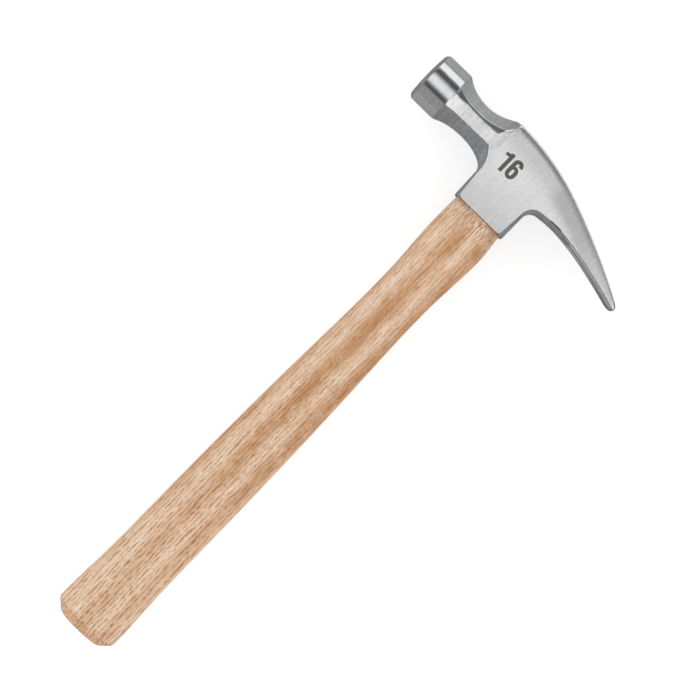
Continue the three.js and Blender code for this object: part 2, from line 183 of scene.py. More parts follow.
# Numeral for the head's weight, on the upper cheek: its lower left corner from the handle's and the poll's
# axes, then sizes and places of the figures from that corner
NUMERAL_LEFT = -12.3
NUMERAL_FOOT = -10.4
NUMERAL_HEIGHT = 10.9
NUMERAL_STROKE = 2.05
NUMERAL_DEPTH = 0.03
NUMERAL_CUTS = 6
ONE_OUTLINE = [(2.35, 0), (4.4, 0), (4.4, 10.9), (2.65, 10.9), (1.95, 9.9), (0, 9.7), (0, 8), (2.35, 8.2)]
SIX_LEFT = 5.65
SIX_WIDTH = 5.6
SIX_BOWL = 7.1
SIX_BOWL_TURN = 100
SIX_JOINT = 6.3
SIX_TERMINAL = 7.8
SIX_HOLE_STRETCH = 0.3

# The head's outline is drawn about the crossing of the poll's and the handle's axes, and the handle
# about its own axis from the butt up
_, head_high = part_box("head")
handle_low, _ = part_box("handle")
AXIS_X = head_high.x / MM - CLAW_REACH
POLL_Y = head_high.y / MM - POLL_RADIUS
BUTT_Y = handle_low.y / MM
MIDDLE_Z = POLL_RADIUS
HEAD_HEIGHT = POLL_Y - BUTT_Y
EYE_CENTRE = (SKIRT_REAR - SKIRT_FRONT) / 2
EYE_HALF_WIDTH = (SKIRT_REAR + SKIRT_FRONT) / 2 - SKIRT_WALL
EYE_HALF_THICKNESS = CHEEK_HALF - CHEEK_WALL
EYE_MOUTH = HEAD_HEIGHT - SKIRT_DEPTH
EYE_WAIST = EYE_MOUTH + EYE_WAIST_RISE
EYE_TOP = HEAD_HEIGHT + CROWN_RISE + FIT_GAP


def mix(start, end, share):
    return start + (end - start) * share


# Node trees
def operator(operation, swapped=False):
    """An arithmetic operator on sockets, as a Math node."""
    def apply(self, other):
        values = [other, self] if swapped else [self, other]
        return self.tree.node("ShaderNodeMath", {"operation": operation}, values)
    return apply


class Value:
    """A node's output that takes part in arithmetic."""

    def __init__(self, tree, socket):
        self.tree = tree
        self.socket = socket

    __add__ = __radd__ = operator("ADD")
    __sub__ = operator("SUBTRACT")
    __rsub__ = operator("SUBTRACT", swapped=True)
    __mul__ = __rmul__ = operator("MULTIPLY")
    __truediv__ = operator("DIVIDE")
    __rtruediv__ = operator("DIVIDE", swapped=True)
    __pow__ = operator("POWER")

    def math(self, operation, *others):
        return self.tree.node("ShaderNodeMath", {"operation": operation}, [self, *others])

    def parts(self):
        """The three numbers of a vector."""
        first = self.tree.node("ShaderNodeSeparateXYZ", {}, [self])
        return [Value(self.tree, output) for output in first.socket.node.outputs]

    def step(self, low, high):
        """0 below low and 1 above high, with a smooth slope between them."""
        settings = {"interpolation_type": "SMOOTHSTEP"}
        return self.tree.node("ShaderNodeMapRange", settings, [self, low, high])


class Tree:
    """Makes the nodes of one shader, world or geometry tree."""

    def __init__(self, nodes):
        self.nodes = nodes

    def node(self, kind, settings, inputs, output=0):
        made = self.nodes.nodes.new(kind)
        for name, value in settings.items():
            if name == "stops":
                self.set_stops(made.color_ramp.elements, value)
            else:
                setattr(made, name, value)
        pairs = inputs.items() if isinstance(inputs, dict) else enumerate(inputs)
        for key, value in pairs:
            if isinstance(value, Value):
                self.nodes.links.new(value.socket, made.inputs[key])
            else:
                made.inputs[key].default_value = value
        return Value(self, made.outputs[output]) if made.outputs else made

    @staticmethod
    def set_stops(elements, stops):
        while len(elements) < len(stops):
            elements.new(1)
        for element, (place, colour) in zip(elements, stops):
            element.position = place
            element.color = colour

    def vector(self, x, y, z):
        return self.node("ShaderNodeCombineXYZ", {}, [x, y, z])

    def noise(self, place, scales, detail=2, roughness=0.5):
        """Smooth noise, with its cycles in a millimetre along each axis."""
        turns = self.vector(*(way * scale for way, scale in zip(place, scales)))
        inputs = {"Vector": turns, "Scale": 1, "Detail": detail, "Roughness": roughness}
        return self.node("ShaderNodeTexNoise", {}, inputs)

    def ramp(self, value, stops):
        return self.node("ShaderNodeValToRGB", {"stops": stops}, [value])

    def blend(self, share, first, second):
        """A colour between two others, by the Mix node's sockets for colours."""
        return self.node("ShaderNodeMix", {"data_type": "RGBA"}, {0: share, 6: first, 7: second}, output=2)

    def place_on_hammer(self):
        """Millimetres from the handle's axis, up from the butt end, and up from the middle plane."""
        place = self.node("ShaderNodeTexCoord", {}, {}, output="Object")
        x, y, z = place.parts()
        return x / MM - AXIS_X, y / MM - BUTT_Y, z / MM - MIDDLE_Z


def colour(red, green, blue):
    """A colour from its screen values, 0 to 255, by the sRGB curve."""
    def linear(value):
        share = value / 255
        return share / 12.92 if share <= 0.04045 else ((share + 0.055) / 1.055) ** 2.4
    return linear(red), linear(green), linear(blue), 1


def new_material(name):
    material = bpy.data.materials.new(name)
    material.use_nodes = True
    tree = Tree(material.node_tree)
    return material, tree, material.node_tree.nodes["Principled BSDF"]


def feed(tree, shader, **inputs):
    """Links values to the shader's sockets, named with underscores for spaces."""
    for name, value in inputs.items():
        tree.nodes.links.new(value.socket, shader.inputs[name.replace("_", " ")])


# Steel's noises: cycles in a millimetre along X, Y and Z, detail and roughness
BRUSH_LINES = (2.8, 0.5, 0.4), 4, 0.7
BROAD_LINES = (0.8, 0.08, 0.08), 2, 0.5
CLOUDS = (0.09, 0.07, 0.09), 2, 0.5
BROAD_SHARE = 0.4
CLOUD_SHADE = 0.1
LINE_ROUGHNESS = 0.04
CLOUD_ROUGHNESS = 0.05
BRUSH_DEPTH = 0.0002
# How much darker steel is painted towards the skirt's end, as painted shade
SKIRT_PAINTED_SHADE = 0.2


def steel(name, tone, roughness, streaks, grain):
    """Steel with fine brush lines across the head, darkened towards the skirt's end as painted shade."""
    material, tree, shader = new_material(name)
    place = tree.place_on_hammer()
    lines, broad, cloud = (tree.noise(place, *kind) - 0.5 for kind in (BRUSH_LINES, BROAD_LINES, CLOUDS))
    height = place[1] - HEAD_HEIGHT
    # Painted shade: steel darkens from the cheek's ridge down to the skirt's end
    painted_skirt_shade = 1 - (1 - height.step(-SKIRT_DEPTH, CHEEK_RIDGE)) * SKIRT_PAINTED_SHADE
    level = painted_skirt_shade + lines * streaks + broad * (streaks * BROAD_SHARE) + cloud * CLOUD_SHADE
    feed(
        tree,
        shader,
        Base_Color=tree.node("ShaderNodeCombineColor", {}, [level * part for part in tone]),
        Roughness=roughness + lines * LINE_ROUGHNESS + cloud * CLOUD_ROUGHNESS,
        Normal=tree.node("ShaderNodeBump", {}, {"Strength": grain, "Distance": BRUSH_DEPTH, "Height": lines}),
    )
    shader.inputs["Metallic"].default_value = 1
    return material


# Oak's noises: cycles in a millimetre across and along the handle, and for some detail and roughness
OAK_NOISES = {
    "drift": (0.02, 0.01),
    "wander": (0.1, 0.03),
    "ripple": (0.4, 0.05),
    "patch": (0.3, 0.08, 3),
    "streak": (1.5, 0.17, 3, 0.6),
    "fleck": (2.6, 0.6),
    "thread": (1.15, 0.05, 1),
    "dash": (0.8, 0.3),
    "cut": (1.6, 0.4),
    "tick": (1.9, 0.3, 1),
    "strength": (0.05, 0.03),
}
# How dark each mark is in the middle of the handle, and what the grip and the upper part add to that
OAK_MARKS = {
    "streak": (1.3, -0.6, -0.4),
    "fleck": (1, -0.2, -0.2),
    "thread": (0, 0, 0.55),
    "patch": (0.8, -0.2, -0.1),
    "line": (0.4, 0.24, -0.1),
}
# Where parts of the oak begin and where they are full, in millimetres
# Painted light on the handle's edge on the striking face's side: palest out past the first place, none past
# the second
PAINTED_LIGHT_SIDE = (-16, -9)
GRIP_PART = (60, 130)
UPPER_PART = (140, 200)
BAND_PART = (40, 130)
TICK_DROP = 14
STAIN_DROP = 3
# Values of the noises where marks begin and where they are full
DASHES = (0.4, 0.6)
ROW_PORES = (0.5, 0.6)
STRAY_PORES = (0.62, 0.7)
TICKS = (0.55, 0.6)
STRONG_BANDS = (0.3, 0.7)
END_GRAIN = (0.35, 0.75)
# Grain, bands and lines
GRAIN_SLANT = 0.12
DRIFT_REACH = 3
WANDER_REACH = 1.6
RIPPLE = 10
LINE_SPACING = 1.9
BAND_SPACING = 12.15
BAND_PLACE = 0.8
BAND_STRETCH = 0.74
BAND_TONE = 0.32
STRONG_BAND_TONE = 0.18
BAND_LOW = 0.6
BAND_GAIN = 0.8
BAND_FADE = 0.7
# Pores, tones and the surface
ROW_PORE_SHADE = 0.8
STRAY_PORE_SHADE = 0.5
UPPER_PORE_LOSS = 0.5
PORE_SHADE = 0.7
BASE_TONE = 0.3
STAIN_TONE = 0.15
# How much paler the painted light makes the handle's edge on the striking face's side
PAINTED_LIGHT_SIDE_TONE = 0.12
GRIP_TONE = 0.06
END_GRAIN_TONE = 0.3
TONE_SPAN = 1.4
OAK_ROUGHNESS = 0.48
PORE_ROUGHNESS = 0.2
END_GRAIN_ROUGHNESS = 0.15
OAK_BUMP = 0.25
OAK_BUMP_DEPTH = 0.0003
STREAK_BUMP = 0.3


def oak(name, pale, mid, dark, pore):
    """Oak with broad bands, rows of short dark pores and fine streaks, all along the handle, and painted
    light that makes its edge on the striking face's side paler.
    """
    material, tree, shader = new_material(name)
    x, y, z = tree.place_on_hammer()

    def noise(kind, sideways):
        wide, long, *others = OAK_NOISES[kind]
        return tree.noise((sideways, y, z), (wide, long, wide), *others)

    def wave(angle):
        return angle.math("COSINE") * 0.5 + 0.5

    drift = (noise("drift", x) - 0.5) * DRIFT_REACH + (noise("wander", x) - 0.5) * WANDER_REACH
    across = x + z * GRAIN_SLANT + drift
    past = across - BAND_PLACE
    turns = past * (BAND_STRETCH + past.step(-1, 1) * (1 - BAND_STRETCH)) / BAND_SPACING
    row = wave(across * (2 * math.pi / LINE_SPACING) + noise("ripple", across) * RIPPLE)
    grip = 1 - y.step(*GRIP_PART)
    upper = y.step(*UPPER_PART)
    under_head = y.step(SHOULDER_HEIGHT - TICK_DROP, SHOULDER_HEIGHT - TICK_DROP / 2)
    stain = y.step(SHOULDER_HEIGHT - STAIN_DROP, SHOULDER_HEIGHT)
    # Painted light: the handle's edge on the striking face's side is painted paler, as if lit more from there
    painted_light_side = 1 - x.step(*PAINTED_LIGHT_SIDE)
    normal_y = tree.node("ShaderNodeNewGeometry", {}, {}, output="Normal").parts()[1]
    end_grain = normal_y.math("ABSOLUTE").step(*END_GRAIN)
    cut = noise("cut", across)
    open_pores = row ** 4 * cut.step(*ROW_PORES) * ROW_PORE_SHADE + cut.step(*STRAY_PORES) * STRAY_PORE_SHADE
    pores = open_pores * (1 - upper * UPPER_PORE_LOSS) + noise("tick", across).step(*TICKS) * under_head
    strong = noise("strength", across).step(*STRONG_BANDS)
    depth = (BAND_LOW + y.step(*BAND_PART) * BAND_GAIN) * (1 - under_head * BAND_FADE)
    tone = wave(turns * (2 * math.pi)) * (BAND_TONE + strong * STRONG_BAND_TONE) * depth + BASE_TONE
    tone = tone + stain * STAIN_TONE + end_grain * END_GRAIN_TONE
    tone = tone - painted_light_side * PAINTED_LIGHT_SIDE_TONE - grip * GRIP_TONE
    marks = {kind: noise(kind, across) - 0.5 for kind in OAK_MARKS if kind in OAK_NOISES}
    marks["line"] = row ** 2 * noise("dash", across).step(*DASHES)
    for kind, (middle, in_grip, above) in OAK_MARKS.items():
        tone = tone + marks[kind] * (middle + grip * in_grip + upper * above)
    deep = tuple(mix(a, b, 0.5) for a, b in zip(dark, pore))
    stops = [(0, pale), (0.5 / TONE_SPAN, mid), (1 / TONE_SPAN, dark), (1, deep)]
    height = marks["streak"] * STREAK_BUMP - pores
    bump = {"Strength": OAK_BUMP, "Distance": OAK_BUMP_DEPTH, "Height": height}
    feed(
        tree,
        shader,
        Base_Color=tree.blend(pores * PORE_SHADE, tree.ramp(tone / TONE_SPAN, stops), pore),
        Roughness=OAK_ROUGHNESS + pores * PORE_ROUGHNESS + end_grain * END_GRAIN_ROUGHNESS,
        Normal=tree.node("ShaderNodeBump", {}, bump),
    )
    return material


# Marking: its speckle's cycles in a millimetre, and what the speckle does to its colour and roughness
INK_SPECKLE = (6, 6, 6), 3
INK_LIFT = 1.5
INK_ROUGHNESS = 0.5
INK_SPECKLE_ROUGHNESS = 0.2


def etched_ink(name, tone):
    """Dull dark marking with a faint speckle."""
    material, tree, shader = new_material(name)
    speckle = tree.noise(tree.place_on_hammer(), *INK_SPECKLE)
    feed(
        tree,
        shader,
        Base_Color=tree.blend(speckle, tone, tuple(INK_LIFT * part for part in tone)),
        Roughness=INK_ROUGHNESS + speckle * INK_SPECKLE_ROUGHNESS,
    )
    return material


# Materials: steel by its tone, roughness, streaks and depth of grain, oak by its colours from pale to pore
BRUSHED = steel("brushed_steel", (0.64, 0.64, 0.642), 0.27, 0.5, 0.03)
NECK_BRUSHED = steel("neck_brushed_steel", (0.59, 0.59, 0.592), 0.27, 1.1, 0.05)
POLISHED = steel("polished_steel", (0.615, 0.62, 0.63), 0.18, 0.55, 0.08)
GROUND = steel("ground_steel", (0.535, 0.545, 0.56), 0.36, 1.0, 0.12)
DARK_GROUND = steel("dark_ground_steel", (0.52, 0.54, 0.565), 0.58, 1.5, 0.12)
# Painted light: ground steel far paler than steel's own tone, for the tines' walls and lower bevels
PAINTED_LIGHT_GROUND = steel("ground_steel_painted_light", (0.92, 0.925, 0.93), 0.5, 0.6, 0.12)
# Dark steel: the real forged finish inside the eye and the nail slot, and painted shade where it lines the
# throat's, notch's and tines' corners
FORGED_AND_PAINTED_SHADE = steel("forged_steel_and_painted_shade", (0.12, 0.122, 0.126), 0.45, 0.3, 0.3)
# Painted shade: darker steel for the rear neck's slanted upper edge
PAINTED_SHADE_STEEL = steel("painted_shade_steel", (0.2, 0.203, 0.208), 0.45, 0.3, 0.3)
DULL = steel("wedge_steel", (0.4, 0.4, 0.405), 0.45, 0.3, 0.3)
OAK = oak(
    "oak",
    colour(237, 215, 194),
    colour(214, 177, 144),
    colour(187, 137, 93),
    colour(146, 88, 44),
)
WEDGE_WOOD = oak(
    "wedge_hardwood",
    colour(200, 166, 128),
    colour(178, 138, 98),
    colour(150, 108, 72),
    colour(108, 72, 46),
)
INK = etched_ink("etched_numeral", colour(76, 75, 72))


# Meshes: how close points are merged, how short a sliver is removed, and which edges stay sharp, in degrees
WELD = 0.002
SLIVER = 0.001
HEAD_SHARP_ANGLE = 32
HANDLE_SHARP_ANGLE = 35


def new_piece(name, mesh):
    piece = bpy.data.objects.new(name, mesh)
    bpy.context.collection.objects.link(piece)
    return piece


def plain_mesh(piece):
    """A piece's shape as plain mesh, after its modifiers."""
    graph = bpy.context.evaluated_depsgraph_get()
    return bpy.data.meshes.new_from_object(piece.evaluated_get(graph), depsgraph=graph)


def settle(piece):
    """Turns a piece's modifiers into plain mesh."""
    mesh = plain_mesh(piece)
    piece.modifiers.clear()
    piece.data = mesh


def mesh_piece(name, points, faces, materials=(), slots=()):
    """A piece from points in millimetres, with its doubles merged and its faces outward."""
    mesh = bpy.data.meshes.new(name)
    mesh.from_pydata([p * MM for p in points], [], faces)
    for material in materials:
        mesh.materials.append(material)
    for polygon, slot in zip(mesh.polygons, slots):
        polygon.material_index = slot
    work = bmesh.new()
    work.from_mesh(mesh)
    bmesh.ops.remove_doubles(work, verts=work.verts, dist=WELD * MM)
    bmesh.ops.dissolve_degenerate(work, edges=work.edges, dist=SLIVER * MM)
    bmesh.ops.recalc_face_normals(work, faces=work.faces)
    work.to_mesh(mesh)
    work.free()
    return new_piece(name, mesh)


def carve(piece, *cutters):
    """Cuts pieces out of another and removes them."""
    for cutter in cutters:
        cut = piece.modifiers.new("cut", "BOOLEAN")
        cut.operation = "DIFFERENCE"
        cut.solver = "EXACT"
        cut.object = cutter
    settle(piece)
    for cutter in cutters:
        bpy.data.objects.remove(cutter)


def smooth(piece, degrees):
    """Shades a piece smooth, with edges sharper than this kept, and flats kept flat."""
    piece.data.polygons.foreach_set("use_smooth", [True] * len(piece.data.polygons))
    piece.data.set_sharp_from_angle(angle=math.radians(degrees))
    weighted = piece.modifiers.new("normals", "WEIGHTED_NORMAL")
    weighted.keep_sharp = True
    settle(piece)


def tube(name, rings, materials=()):
    """A closed piece through rings of points."""
    count = len(rings[0])
    last = (len(rings) - 1) * count
    faces = [tuple(range(count)), tuple(range(last, last + count))]
    for i in range(0, last, count):
        for j in range(count):
            k = (j + 1) % count
            faces.append((i + j, i + k, i + count + k, i + count + j))
    return mesh_piece(name, [p for ring in rings for p in ring], faces, materials)


def prism(outline, low, high, place):
    """A cutter: a flat outline swept from low to high. place turns its numbers into a point."""
    return tube("cutter", [[place(a, b, end) for a, b in outline] for end in (low, high)])


# Curves: steps in the search for a point, the share of a side that a corner's rounding takes at most, and
# the shortest step that has a direction
HALVINGS = 40
CORNER_SHARE = 0.46
NO_LENGTH = 1e-4


def point(x, y):
    return Vector((x, y))


def bent(start, *bends_and_end):
    """A curve that is drawn towards each bend on its way to the end."""
    def at(share):
        points = [start, *bends_and_end]
        while len(points) > 1:
            points = [a.lerp(b, share) for a, b in zip(points, points[1:])]
        return points[0]
    return at


def chain(start, *runs):
    """Curves that each start where the last one ended, with a run's bends and end in a list."""
    curves = []
    for run in runs:
        curves.append(bent(start, *run))
        start = run[-1]
    return curves


def part_of(curve, start, end):
    return lambda share: curve(mix(start, end, share))


def at_reach(curves, reach):
    """The point of an outline at a given reach along X."""
    curve = next((c for c in curves if reach <= c(1).x), curves[-1])
    low = 0
    high = 1
    for _ in range(HALVINGS):
        middle = (low + high) / 2
        if curve(middle).x < reach:
            low = middle
        else:
            high = middle
    return curve(low)


def between(curves, start, end):
    return lambda share: at_reach(curves, mix(start, end, share))


def softened(points, softness, steps, corner_steps):
    """Points along a bent line whose inner corners are rounded off over a length on both sides."""
    lengths = [(b - a).length for a, b in zip(points, points[1:])]
    trims = [0]
    for i, soft in enumerate(softness):
        trims.append(min(soft, CORNER_SHARE * lengths[i], CORNER_SHARE * lengths[i + 1]))
    trims.append(0)
    line = []
    for i, (start, end) in enumerate(zip(points, points[1:])):
        way = (end - start).normalized()
        first = start + way * trims[i]
        last = end - way * trims[i + 1]
        line += [first.lerp(last, j / steps[i]) for j in range(steps[i])]
        if i + 2 < len(points):
            after = end + (points[i + 2] - end).normalized() * trims[i + 1]
            corner = bent(last, end, after)
            line += [corner(j / corner_steps) for j in range(corner_steps)]
        else:
            line.append(last)
    return line


# Head
FRONT_FILLET_START = point(-SKIRT_FRONT - FRONT_FILLET, -NECK_DROP - NECK_REAR_SAG * FRONT_FILLET)
FRONT_FILLET_END = point(-SKIRT_FRONT - SKIRT_FRONT_LEAN, FRONT_FILLET_START.y - FRONT_FILLET)
FRONT_FILLET_CURVE = bent(
    FRONT_FILLET_START,
    point(FRONT_FILLET_END.x, FRONT_FILLET_START.y - NECK_REAR_SAG * FRONT_FILLET),
    FRONT_FILLET_END,
)
REAR_FILLET_START = point(SKIRT_REAR, -CLAW_ROOT_DROP - REAR_FILLET)
REAR_FILLET_END = point(SKIRT_REAR + REAR_FILLET, -CLAW_ROOT_DROP)
REAR_FILLET_CURVE = bent(REAR_FILLET_START, point(SKIRT_REAR, -CLAW_ROOT_DROP), REAR_FILLET_END)
CROWN_BEND = point(CROWN_BEND_REACH, CROWN_RISE - CROWN_BEND_DROP)
CLAW_BEND = point(CLAW_BEND_REACH, -CLAW_BEND_DROP)
CLAW_MIDDLE = CROWN_BEND.lerp(CLAW_BEND, CLAW_MIDDLE_SHARE)
NOSE_START = point(CLAW_REACH - NOSE_LENGTH, NOSE_RISE - CLAW_TIP_DROP)
HEEL = point(CLAW_REACH - HEEL_LENGTH, -HEEL_FALL - CLAW_TIP_DROP)
LOWER_NECK = chain(
    point(-POLL_END_REACH, -POLL_RADIUS),
    [point(-NECK_FRONT_BEND, -NECK_DROP), point(-NECK_REACH, -NECK_DROP)],
    [point(-NECK_REAR_BEND, -NECK_DROP), FRONT_FILLET_START],
)
UPPER_OUTLINE = chain(
    point(-POLL_END_REACH, POLL_RADIUS),
    [point(-NECK_FRONT_BEND, NECK_RISE), point(-NECK_REACH, NECK_RISE)],
    [point(-NECK_REAR_BEND, NECK_RISE), point(-SHOULDER_REACH, CROWN_RISE)],
    [point(-CROWN_REACH, CROWN_RISE)],
    [CROWN_BEND, CLAW_MIDDLE],
    [CLAW_BEND, NOSE_START],
)
CLAW_UNDERSIDE = bent(
    REAR_FILLET_END,
    point(mix(REAR_FILLET_END.x, HEEL.x, CLAW_ARCH_SHARE), REAR_FILLET_END.y + CLAW_ARCH),
    point(mix(REAR_FILLET_END.x, HEEL.x, CLAW_HOLLOW_SHARE), HEEL.y + CLAW_HOLLOW),
    HEEL,
)
NOSE_TOP = bent(
    NOSE_START,
    point(CLAW_REACH, NOSE_RISE / 2 - CLAW_TIP_DROP),
    point(CLAW_REACH, NOSE_EDGE / 2 - CLAW_TIP_DROP),
)
NOSE_HEEL = bent(
    HEEL,
    point(CLAW_REACH - HEEL_LENGTH / 4, -2 * HEEL_FALL - CLAW_TIP_DROP),
    point(CLAW_REACH, -NOSE_EDGE / 2 - CLAW_TIP_DROP),
)

# Roundings of a cross-section's corners, and the values of a section whose sides have no slope
LEVEL_FLAT = {"level": 1, "tilt": 0, "edge_roll": 0}
OCTAGON_SOFTNESS = {"lower_soft": 0.3, "edge_soft": 0.6, "upper_soft": 0.2, "wall_soft": 0.6}
SLAB_SOFTNESS = {"lower_soft": 0.35, "edge_soft": 0.35, "upper_soft": 0.2, "wall_soft": 0.5}


def slab(half, lower, upper, **others):
    """A flat-sided cross-section, with its bevels as how far they reach in and how deep they go.

    level turns the bevels from across the outline to along the rib, and rounded from flat sides to a
    circle. tilt is the slope of the flat past its crease, and edge_roll how far its upper edge bends
    inward. slot is half the nail slot's width, and soft values round the corners.
    """
    section = {
        "half": half,
        "lower_wall": half - lower[1],
        "upper_wall": half - upper[1],
        "lower_bevel": lower[0],
        "upper_bevel": upper[0],
        "level": 0,
        "rounded": 0,
        "slot": 0,
        "tilt": CROWN_TILT,
        "edge_roll": EDGE_ROLL,
    }
    return {**section, **SLAB_SOFTNESS, **others}


def octagon(radius, rounded):
    """An eight-sided cross-section of the poll or neck, or a circle where rounded is 1."""
    bevel = radius - radius * math.tan(math.pi / 8)
    edges = (bevel, bevel)
    return slab(radius, edges, edges, rounded=rounded, **LEVEL_FLAT, **OCTAGON_SOFTNESS)


def mix_sections(start, end, share):
    return {key: mix(start[key], end[key], share) for key in start}


RIM_REACH = FACE_REACH - FACE_CROWN
NECK_START = POLL_END_REACH - POLL_EDGE
THROAT_REACH = mix(SHOULDER_REACH, CROWN_REACH, THROAT_SHARE)
NECK = octagon(NECK_HALF, 0)
NECK_FIRST = octagon(at_reach(UPPER_OUTLINE, -NECK_START).y, 0)
NOSE_EDGES = (NOSE_BEVEL, NOSE_BEVEL)
SHOULDER = slab(CHEEK_HALF, SHOULDER_EDGE, SHOULDER_EDGE, lower_soft=THROAT_SOFTNESS, **LEVEL_FLAT)
THROAT = slab(CHEEK_HALF, THROAT_EDGE, THROAT_EDGE, level=THROAT_LEVEL, lower_soft=THROAT_SOFTNESS)
FRONT = slab(CHEEK_HALF, (FRONT_FILLET_BEVEL, SKIRT_BEVEL_DEPTH), CROWN_EDGE)
SKIRT = slab(CHEEK_HALF, SKIRT_END_EDGE, CROWN_EDGE)
REAR = slab(CHEEK_HALF, (REAR_FILLET_BEVEL, SKIRT_BEVEL_DEPTH), CROWN_EDGE)
CLAW = slab(CLAW_HALF, CLAW_EDGE, CROWN_EDGE, tilt=CLAW_TILT, edge_roll=CLAW_ROLL)
NOTCH = {**CLAW, "lower_soft": NOTCH_SOFTNESS}
TINE_CORNERS = {"lower_soft": TINE_SOFTNESS, "wall_soft": TINE_SOFTNESS, "edge_roll": CLAW_ROLL}
TINE_ROOT = slab(CLAW_HALF, TINE_EDGE, CROWN_EDGE, tilt=CLAW_TILT, **TINE_CORNERS)
TINE_FIRST = mix_sections(NOTCH, TINE_ROOT, (TINE_START - NOTCH_REACH) / (SLOT_REACH - NOTCH_REACH))
TINE = slab(CLAW_TIP_HALF, TINE_EDGE, CROWN_EDGE, tilt=TINE_TILT, slot=SLOT_MOUTH / 2, **TINE_CORNERS)
NOSE = slab(CLAW_TIP_HALF - NOSE_BEVEL, NOSE_EDGES, NOSE_EDGES, slot=SLOT_MOUTH / 2)


def even(share):
    return share


def ease_out(share):
    return 1 - (1 - share) ** 2


def ease_in(share):
    return share ** 2


def edge_at(x):
    """The width and depth of the slanted edge along the top of the neck's flat, the cheek and the claw."""
    for start, end in zip(EDGES, EDGES[1:]):
        if x <= end[0]:
            share = max(x - start[0], 0) / (end[0] - start[0])
            return mix(start[1], end[1], share), mix(start[2], end[2], share)
    return EDGES[-1][1:]


def skirt_line(start, end, front, rear, floor, front_round, rear_round):
    """The skirt's front wall, end and rear wall, with rounded corners between them."""
    return chain(
        start,
        [point(front, floor + front_round)],
        [point(front, floor), point(front + front_round, floor)],
        [point(rear - rear_round, floor)],
        [point(rear, floor), point(rear, floor + rear_round)],
        [end],
    )


SKIRT_EDGE = skirt_line(
    FRONT_FILLET_END,
    REAR_FILLET_START,
    -SKIRT_FRONT,
    SKIRT_REAR,
    -SKIRT_DEPTH,
    SKIRT_CORNER,
    SKIRT_CORNER,
)
SKIRT_FLAT = skirt_line(
    FRONT_FILLET_END + point(FRONT_FILLET_BEVEL, 0),
    REAR_FILLET_START - point(REAR_FILLET_BEVEL, 0),
    -SKIRT_FRONT + SKIRT_FRONT_BEVEL,
    SKIRT_REAR - SKIRT_REAR_BEVEL,
    -SKIRT_DEPTH + SKIRT_END_EDGE[0],
    SKIRT_FRONT_ROUND,
    SKIRT_REAR_ROUND,
)
# Where ribs from the skirt's end and from its corners meet the crown, as shares of its reach on each side
SKIRT_END_SHARE = 0.5
SKIRT_CORNER_SHARE = 0.6

# Runs of the head, each from where the last one ended: its lower edge, where its upper edge ends, its last
# cross-section, its zone, how many ribs it has, and for some the pace of the change and the flat's lower edge
NECK_END = FRONT_FILLET_START.x
HEAD_RUNS = [
    (between(LOWER_NECK, -POLL_END_REACH, -NECK_START), -NECK_START, NECK_FIRST, "neck", 4),
    (between(LOWER_NECK, -NECK_START, -NECK_REACH), -NECK_REACH, NECK, "neck", 24, ease_out),
    (between(LOWER_NECK, -NECK_REACH, NECK_END), -SHOULDER_REACH, SHOULDER, "rear neck", 36, ease_in),
    (part_of(FRONT_FILLET_CURVE, 0, THROAT_SHARE), -THROAT_REACH, THROAT, "throat", 14),
    (part_of(FRONT_FILLET_CURVE, THROAT_SHARE, 1), -CROWN_REACH, FRONT, "skirt", 8),
    (SKIRT_EDGE[0], -SKIRT_CORNER_SHARE * CROWN_REACH, FRONT, "skirt front", 8, even, SKIRT_FLAT[0]),
    (SKIRT_EDGE[1], -SKIRT_END_SHARE * CROWN_REACH, SKIRT, "skirt front", 6, even, SKIRT_FLAT[1]),
    (SKIRT_EDGE[2], SKIRT_END_SHARE * SKIRT_REAR, SKIRT, "skirt", 12, even, SKIRT_FLAT[2]),
    (SKIRT_EDGE[3], SKIRT_CORNER_SHARE * SKIRT_REAR, REAR, "skirt", 6, even, SKIRT_FLAT[3]),
    (SKIRT_EDGE[4], SKIRT_REAR, REAR, "skirt", 8, even, SKIRT_FLAT[4]),
    (REAR_FILLET_CURVE, REAR_FILLET_END.x, CLAW, "skirt", 14),
    (between([CLAW_UNDERSIDE], REAR_FILLET_END.x, NOTCH_START), NOTCH_START, CLAW, "skirt", 8),
    (between([CLAW_UNDERSIDE], NOTCH_START, NOTCH_REACH), NOTCH_REACH, NOTCH, "notch", 8),
    (between([CLAW_UNDERSIDE], NOTCH_REACH, TINE_START), TINE_START, TINE_FIRST, "skirt", 8),
    (between([CLAW_UNDERSIDE], TINE_START, SLOT_REACH), SLOT_REACH, TINE_ROOT, "tine root", 8),
    (between([CLAW_UNDERSIDE], SLOT_REACH, HEEL.x), NOSE_START.x, TINE, "tine", 30),
]
NOSE_STEPS = 10


def make_rib(low, high, section, zone, flat=None):
    return {"low": low, "high": high, "flat": flat, "section": section, "zone": zone}


def stretch(lower, upper, sections, zone, steps, pace=even, flat=None):
    """The ribs of a run of the head between two cross-sections, after its first."""
    ribs = []
    for share in (i / steps for i in range(1, steps + 1)):
        section = mix_sections(*sections, pace(share))
        ribs.append(make_rib(lower(share), upper(share), section, zone, flat(share) if flat else None))
    return ribs


def head_ribs():
    """The ribs of the poll, of the runs after it and of the claw's nose."""
    ribs = poll_ribs()
    start = -POLL_END_REACH
    first = octagon(POLL_RADIUS, 1)
    for lower, end, last, zone, steps, *others in HEAD_RUNS:
        upper = between(UPPER_OUTLINE, start, end)
        ribs += stretch(lower, upper, (first, last), zone, steps, *others)
        start = end
        first = last
    return ribs + stretch(NOSE_HEEL, NOSE_TOP, (first, NOSE), "tine", NOSE_STEPS)


# Roundings of the poll's profile, and the steps along its stretches and round its corners
POLL_SOFTNESS = [1.2, 0.5, 0.3]
POLL_STEPS = [6, 3, 3, 10]
POLL_CORNER_STEPS = 6


